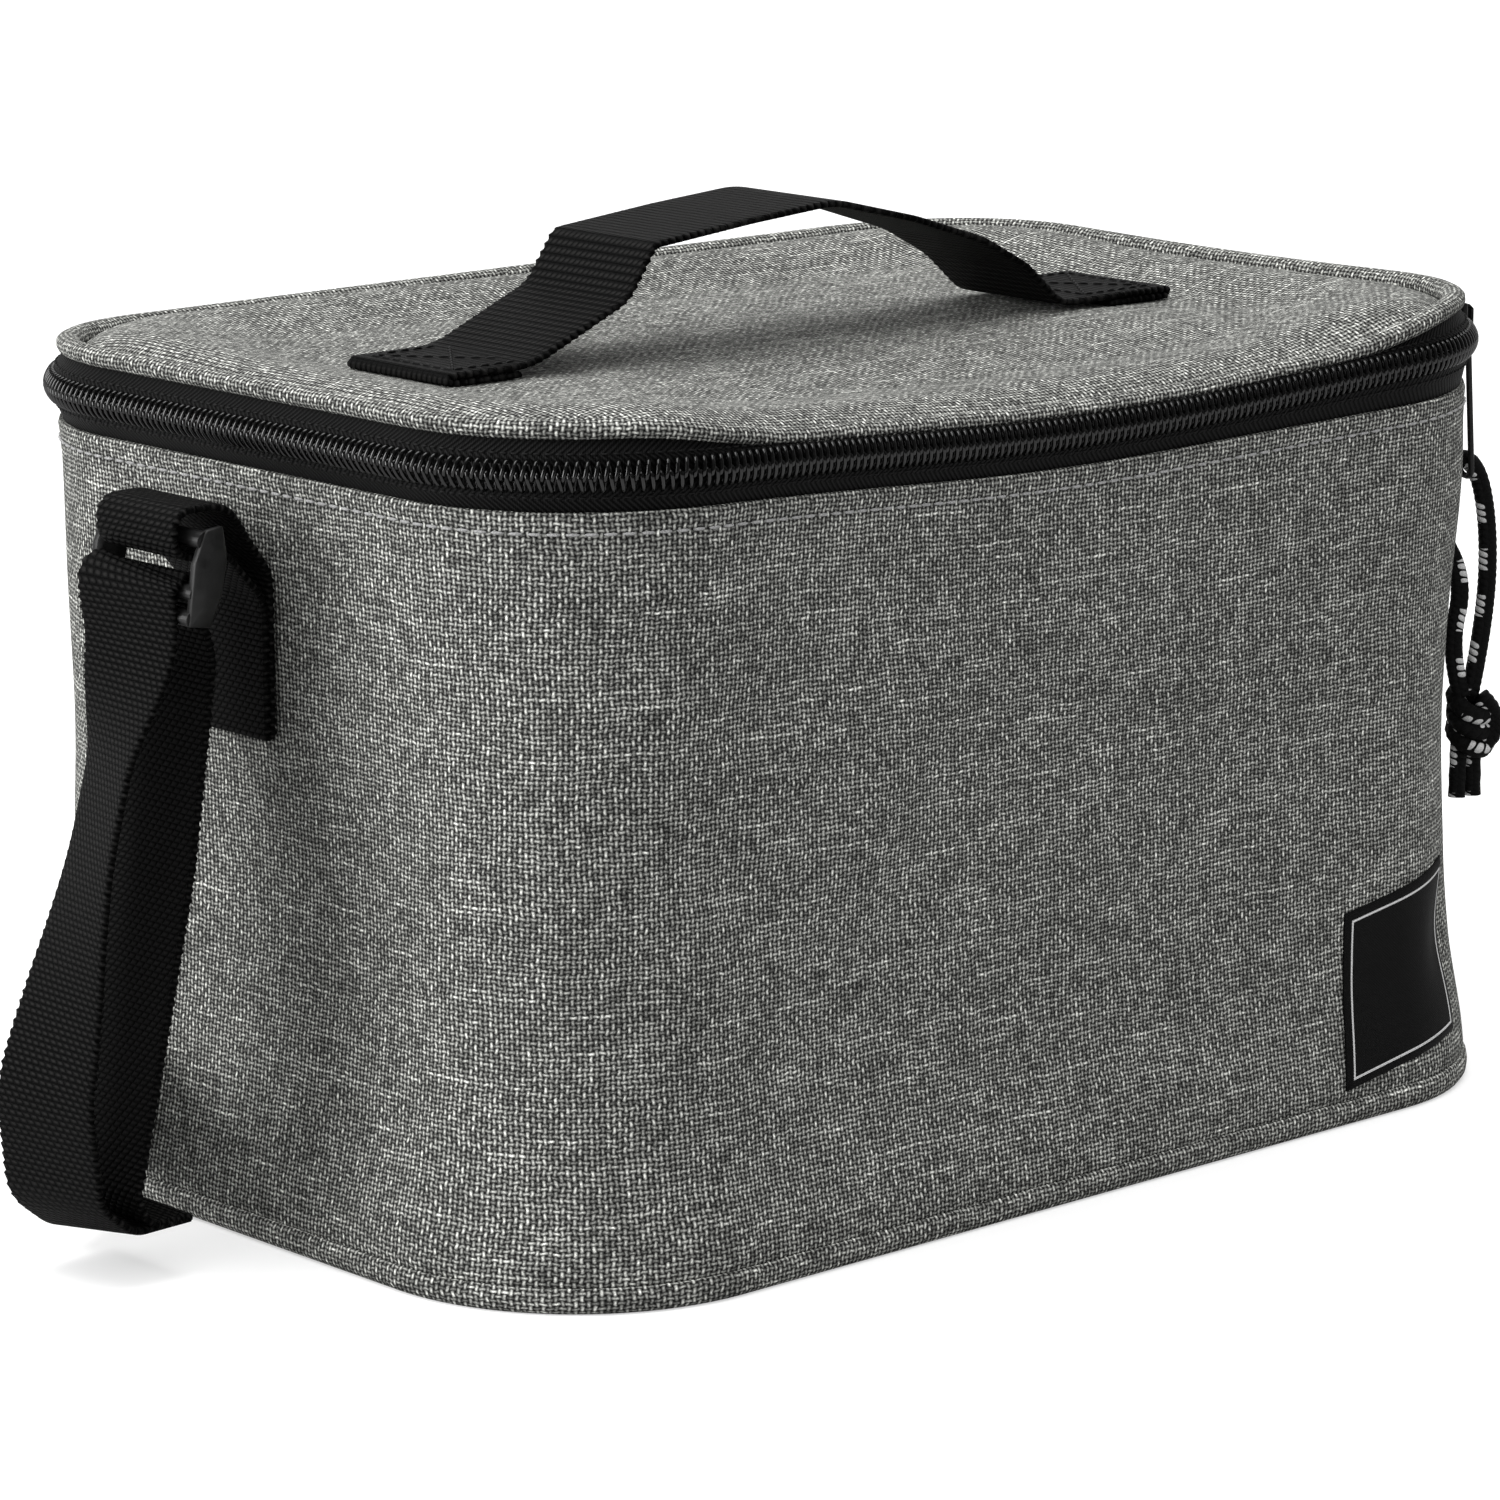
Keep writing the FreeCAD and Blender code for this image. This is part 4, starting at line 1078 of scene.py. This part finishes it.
def make_strap():
    loop = 3.6
    low = ZIP_MID - 56.5
    high = BAR_Z + loop + 1.4
    anchor = [(-OUTER_PLY, low, 0), (-OUTER_PLY, BAR_Z - 14.5, 8), (BAR_X + 8, BAR_Z - loop, 8)]
    anchor += [(BAR_X - loop, BAR_Z - loop, loop), (BAR_X - loop, high, loop)]
    anchor += [(BAR_X + 9, high, 10), (-INNER_PLY, BAR_Z - 9.5, 8), (-INNER_PLY, low, 0)]

    def pulled_back(flat, across):
        return Vector((flat.x, across + 4 * smooth(BAR_X + 4, 1 - OUTER_PLY, flat.x), flat.y))

    sewn = strip("anchor_webbing", rounded(anchor, 0.6), STRAP_W - 1.5, WEB_T, pulled_back)
    piece(sewn, "bag", STRAP_WEBBING, "strap_anchor")
    wrap = 2.6
    roll = BAR_MID_Z + wrap
    bend = wrap - 1.2
    run = [(-4, 11.4, 0), (-13, 11.2, 4), (-15.6, 17, 5), (-11.5, 34, 40), (-1.8, 76, 80), (4.2, 115, 14)]
    run += [(bend, LOW_BAR_Z + 1, 6), (bend, roll, wrap), (-6.4, roll + 0.2, 3), (-5.4, LOW_BAR_Z - 6, 20)]
    run += [(-11.5, LOW_BAR_Z - 30, 60), (-27.5, 36, 30), (-25.5, 16, 9), (-17, 9, 8), (-4, 9.3, 0)]
    tail = [(BAR_X + x, z, radius) for x, z, radius in run]
    line = rounded(tail, 0.6)
    top = max(range(len(line)), key=lambda k: line[k].y)
    twists = [0 if k < top else outer_twist(p.y) for k, p in enumerate(line)]
    left = strip("strap_tail", line, STRAP_W, WEB_T, twists=twists)
    dress(left, STRAP_WEBBING, "shoulder_strap")
    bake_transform(left)
    make_riser()
    make_belt()


def make_riser():
    """The right end: the belt turns up at a 45 degree fold and is sewn on with its end tucked under."""
    top = BAR_Z - 33.5
    path = [(OUTER_PLY, BELT_LOW, 0), (OUTER_PLY, top, PLY / 2)]
    path += [(INNER_PLY, top, PLY / 2), (INNER_PLY, top - 20, 0)]

    def above_fold(flat, across):
        fold = BELT_HIGH - (across + STRAP_W / 2)
        return Vector((flat.x, across, max(flat.y, fold)))

    riser = strip("strap_riser", rounded(path, 0.8), STRAP_W, WEB_T, above_fold)
    piece(riser, "bag", STRAP_WEBBING, "shoulder_strap")


def make_belt():
    """The run round the back, cut at 45 degrees where it meets the upright runs on both sides."""
    middle = (BELT_LOW + BELT_HIGH) / 2
    lying = 0.3 + WEB_T / 2
    clear = -HALF_W - BAR_X + 9.6
    left_mid = PERIMETER + LEFT_MID
    path = [(RIGHT_MID - STRAP_W / 2, lying, 0), (left_mid - 38, lying, 8)]
    path += [(left_mid - 17.5, clear, 8), (left_mid + STRAP_W / 2, clear, 0)]

    def around_bag(flat, across):
        z = middle + across
        reach = BELT_HIGH - STRAP_W / 2 - z
        s = min(max(flat.x, RIGHT_MID + reach), left_mid - reach - 6)
        x, y, nx, ny = ring_point(s)
        out, _ = settle(s, z)
        off = flat.y + (max(out, 0) + wall_off(z)) * (1 - smooth(4, 16, flat.y))
        return Vector((x + nx * off, y + ny * off, z))

    belt = strip("strap_belt", rounded(path, 0.8), STRAP_W, WEB_T, around_bag)
    piece(belt, "bag", STRAP_WEBBING, "shoulder_strap")


SLIDE_LEAN = 0.2
BAR_R = 1.6


def make_adjuster():
    """Moulded slide, which leans out at its foot: two faceted rails joined by three round bars."""
    rail = [(-0.6, LOW_BAR_Z - 1.4), (4.2, LOW_BAR_Z - 2.2), (5.6, LOW_BAR_Z + 2.5), (5.6, BAR_Z - 3)]
    rail += [(3.8, BAR_Z + 2.2), (0.2, BAR_Z + 1.8), (-1.4, BAR_Z - 4)]

    def place(x, z, y):
        return Vector((BAR_X + x + SLIDE_LEAN * (z - BAR_Z), y, z))

    solids = []
    for way in (-1, 1):
        levels = [(way * 13.2, 0.8), (way * 14.2, 1), (way * 15.4, 1), (way * 17.2, 0.6)]
        solids.append(block(rail, place, levels, 0.25, 2))
    for z in (BAR_Z, BAR_MID_Z, LOW_BAR_Z):
        turns = [k * math.pi / 8 for k in range(16)]
        bar = [(0.3 + BAR_R * math.cos(turn), z + BAR_R * math.sin(turn)) for turn in turns]
        solids.append(prism(bar, place, -15, 15, 0.1))
    slide = assemble("adjuster_slide", solids)
    slide.data.set_sharp_from_angle(angle=0.5)
    piece(slide, "adjuster", PLASTIC, "strap_adjuster")


# Label
LABEL_SHIFT = 5
LABEL_DROP = 2.6
LABEL_WIDER = 3
LABEL_LEAN = 0.145
LABEL_SKEW = 0.11


def make_label():
    low, high = node_box("front_label")
    width = high.x - low.x + LABEL_WIDER
    height = high.z - low.z
    start = FRONT_MID + low.x + LABEL_SHIFT
    columns = stations(-width / 2, width / 2, 1.2)
    levels = stations(-height / 2, height / 2, 1.2)
    rows = []
    for a in columns:
        front = []
        back = []
        for b in levels:
            rim = smooth(0, 1.2, min(width / 2 - abs(a), height / 2 - abs(b)))
            s = start + width / 2 + a + LABEL_SKEW * b
            z = (low.z + high.z) / 2 - LABEL_DROP + b + LABEL_LEAN * a
            front.append(on_wall(s, wall_off(z) + 0.45 + 0.35 * rim, z))
            back.append(on_wall(s, wall_off(z) + 0.1, z))
        rows.append(front + list(reversed(back)))
    obj = grid("woven_label", rows, columns, levels + list(reversed(levels)) + levels[:1], False, True)
    close_ends(obj, 2 * len(levels))
    piece(obj, "bag", ("label_cloth", label_cloth(width, height)), "front_label")


# Zipper pull
def from_axis(out, along, z):
    """A point seen from the front right corner's axis, turned to where the slider stands."""
    c = math.cos(SLIDER_ANGLE)
    d = math.sin(SLIDER_ANGLE)
    return FRONT_RIGHT_AXIS + Vector((out * c + along * d, -out * d + along * c, z))


WIRE_AT = CORNER + 6.0
WIRE_LOW = ZIP_MID - 33
WIRE_LEAN = 0.07
WIRE_TOP_W = 3.1
WIRE_LOW_W = 2.3
WIRE_R = 0.65


def make_slider():
    def face(along, z, out):
        return from_axis(CORNER + out, along, ZIP_MID + z)

    def edge_on(out, z, along):
        return from_axis(CORNER + out, along, ZIP_MID + z)

    plate = [(-6, -4), (2, -4), (6, -3), (6, 3), (2, 4), (-6, 4)]
    inner = [(along, z * 0.7) for along, z in plate]
    wedge = [(-6, 0), (-4.5, -0.5), (-3, 0), (-4.5, 0.5)]
    lip = [(1.8, -4), (4, -4), (4, -3.3), (1.8, -3.3)]
    bridge = [(4, -3.1), (7.2, -3.1), (8.2, -2.1), (8.2, 2.1), (7.2, 3.1), (4, 3.1)]
    bridge += [(4, 2.1), (7.5, 2.1), (7.5, -2.1), (4, -2.1)]
    solids = [
        prism(plate, face, 3.0, 4.4, 0.5),
        prism(inner, face, -3.4, -2.2, 0.4),
        prism(wedge, face, -2.6, 3.4, 0.2),
        prism(lip, edge_on, -5.6, 3, 0.2),
        prism(bridge, edge_on, -2, 2, 0.3),
    ]
    piece(assemble("slider_body", solids), "slider", METAL, "zipper_slider")
    make_wire()


def make_wire():
    left = [(-WIRE_LOW_W, WIRE_LOW, 1.8), (-WIRE_TOP_W, ZIP_MID, 1)]
    right = [(-along, z, radius) for along, z, radius in reversed(left)]
    corners = [(0, WIRE_LOW, 0), *left, *right, (0, WIRE_LOW, 0)]
    line = [from_axis(WIRE_AT + WIRE_LEAN * (ZIP_MID - p.y), p.x, p.y) for p in rounded(corners, 0.5)]
    spaced = [p for p, q in zip(line, line[1:]) if (p - q).length > 0.05]
    piece(tube("pull_wire", spaced, WIRE_R, 12, closed=True), "pull", METAL, "wire_pull")


# The cord's route as distance from the corner's axis, place along the zipper and height.
CORD_ROUTE = [
    (49.6, 0.0, 74.0),
    (46.2, 0.0, 84.0),
    (50.4, 1.0, 98.0),
    (45.0, 4.5, 110.0),
    (45.6, 2.5, 123.8),
    (51.6, 0.0, 124.0),
    (55.2, 0.0, 110.0),
    (55.0, 0.0, 90.0),
    (51.6, 0.0, 74.0),
]
KNOT_AT = CORNER + 10.8
CORD_BEND = ZIP_MID - 40


def spline_points(name, points):
    """Points along a smooth NURBS line through control points."""
    curve = bpy.data.curves.new(name, "CURVE")
    curve.dimensions = "3D"
    curve.resolution_u = 40
    line = curve.splines.new("NURBS")
    line.points.add(len(points) - 1)
    for spot, p in zip(line.points, points):
        spot.co = (*(p * MM), 1)
    line.order_u = 3
    line.use_endpoint_u = True
    obj = bpy.data.objects.new(name, curve)
    mesh = bpy.data.meshes.new_from_object(obj)
    found = [v.co / MM for v in mesh.vertices]
    bpy.data.meshes.remove(mesh)
    bpy.data.objects.remove(obj)
    bpy.data.curves.remove(curve)
    return found


def braid_relief(along, angle):
    column = angle * CORD_COLUMNS / (2 * math.pi)
    lift = along / CORD_ROW + 0.5 * (column % 1)
    bead = math.sin(math.pi * (column % 1)) * abs(math.sin(math.pi * lift))
    return 0.28 * (bead - 0.6)


def make_cord():
    line = spline_points("cord_line", [from_axis(*p) for p in CORD_ROUTE])
    braid = tube("pull_cord_braid", line, CORD_R, 24, relief=braid_relief)
    dress(braid, CORD, "pull_cord")
    start = from_axis(KNOT_AT, 0, CORD_BEND + 8) * MM
    from_axis(KNOT_AT, 0, CORD_BEND - 8) * MM
    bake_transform(braid)
    knot = make_knot()
    tails = make_tails()


KNOT_Z = ZIP_MID - 85
KNOT_TURNS = 3.2


def at_knot(out, along, z):
    return from_axis(KNOT_AT + out, along, KNOT_Z + z)


def make_knot():
    """Overhand knot: the cord's leaning turns round its own two strands, and one turn across them."""
    steps = 110
    line = []
    for k in range(steps + 1):
        t = k / steps
        angle = 2 * math.pi * KNOT_TURNS * t + 0.6
        tuck = smooth(0, 0.1, t) * (1 - smooth(0.9, 1, t))
        reach = 1.0 + 2.2 * tuck
        rise = 5.6 - 11.2 * t + 1.7 * math.sin(angle) * tuck
        line.append(at_knot(reach * math.cos(angle), reach * math.sin(angle), rise))
    across = [(1.0, -2.5, 5.4), (3.4, -3.2, 3.0), (4.4, -3.0, -1.0), (2.6, -3.2, -4.4), (0.4, -2.0, -5.4)]
    over = spline_points("knot_line", [at_knot(*p) for p in across])
    knot = merge("overhand_knot", [(line, CORD_R), (over, CORD_R)])
    return piece(knot, "cord", CORD, "cord_knot")


def make_tails():
    """The two cut ends below the knot."""
    ends = []
    for out, way in ((-2.6, -1), (0.8, 1)):
        line = []
        for t in (0, 0.2, 0.4, 0.6, 0.8, 1):
            part = way * 0.5 * t
            line.append(at_knot(out + part, part, -5 - 11 * t))
        ends.append((line, CORD_R - 0.1))
    return piece(merge("cord_ends", ends), "cord", CORD, "cord_tails")


def merge(name, runs):
    """One mesh of several runs of cord, each a line of points and a radius."""
    verts = []
    faces = []
    uvs = []
    for k, (line, radius) in enumerate(runs):
        part = tube(f"{name}_{k}", line, radius, 20, relief=braid_relief)
        first = len(verts)
        verts += [v.co / MM for v in part.data.vertices]
        faces += [[first + n for n in f.vertices] for f in part.data.polygons]
        uvs += [tuple(loop.uv) for loop in part.data.uv_layers[0].data]
        bpy.data.objects.remove(part)
    return add_mesh(name, verts, faces, uvs)


make_body()
make_liner()
make_zipper()
make_lid()
make_handle()
make_strap()
make_adjuster()
make_label()
make_slider()
make_cord()


# Stage, light and camera
FLOOR_SEEN = 0.62
FLOOR_GLOW = 0.42
FLOOR_BOUNCE = 0.4


def make_stage():
    """A pale floor, which sends less light back to the object than to the camera."""
    mesh = bpy.data.meshes.new("floor")
    reach = 6.0
    corners = [(-reach, -reach, 0), (reach, -reach, 0), (reach, reach, 0), (-reach, reach, 0)]
    mesh.from_pydata(corners, [], [(0, 1, 2, 3)])
    floor = link("floor", mesh)
    m = Shader("floor_paper")
    grain = m.noise(m.place(), scale=0.02, detail=3.0)
    paper = m.ramp(grain, [(0.3, grey(0.97)), (0.7, grey(1.0))])
    seen = m.math("MAXIMUM", m.ray("Camera"), m.ray("Transmission"))
    colour = m.shade(paper, m.pick(seen, FLOOR_BOUNCE, FLOOR_SEEN))
    glow = {"Emission_Color": (1, 1, 1, 1), "Emission_Strength": seen * FLOOR_GLOW}
    mesh.materials.append(m.finish(colour, 0.9, Specular_IOR_Level=0.0, **glow))


SKY_LOW = 0.7
SKY_RISE = 0.8
ROOM = 0.05
BACKDROP = 0.85


def make_world():
    """A white backdrop, soft light that grows overhead, and a dim room in front for gloss to mirror."""
    world = bpy.data.worlds.new("studio")
    n = Nodes(world)
    x, y, z = n.split(n.add("ShaderNodeTexCoord", {}, "Generated"))
    sky = n.math("MAXIMUM", z, 0.0) * SKY_RISE + SKY_LOW
    mirrored = n.math("MAXIMUM", x * 0.68 + y * 0.73, 0.0) * BACKDROP + ROOM
    level = n.pick(n.ray("Camera"), n.pick(n.ray("Glossy"), sky, mirrored), 1.0)
    back = n.tree.nodes["Background"]
    n.put(back.inputs["Color"], (1, 1, 1, 1))
    n.put(back.inputs["Strength"], level)
    bpy.context.scene.world = world


def aim(obj, place, target):
    obj.location = place
    obj.rotation_euler = (Vector(target) - obj.location).to_track_quat("-Z", "Y").to_euler()


def add_lamp(name, place, target, size, power):
    light = bpy.data.lights.new(name, "AREA")
    light.shape = "DISK"
    light.size = size
    light.energy = power
    aim(link(name, light), place, target)


def make_camera():
    camera = bpy.data.cameras.new("photo_camera")
    camera.sensor_width = 36
    camera.lens = 146.35
    camera.shift_x = -0.0182
    camera.shift_y = -0.0108
    camera.clip_end = 50
    obj = link("photo_camera", camera)
    aim(obj, (-0.8072, -0.8782, 0.3429), (0, 0, 0.0767))
    bpy.context.scene.camera = obj


make_stage()
make_world()
add_lamp("key", (-0.3, 0.1, 1.6), (0, 0, 0.1), 1.4, 17)
add_lamp("fill", (-1.8, 0.8, 0.6), (0, 0, 0.08), 1.4, 35)
make_camera()
bpy.context.scene.view_settings.view_transform = "Standard"
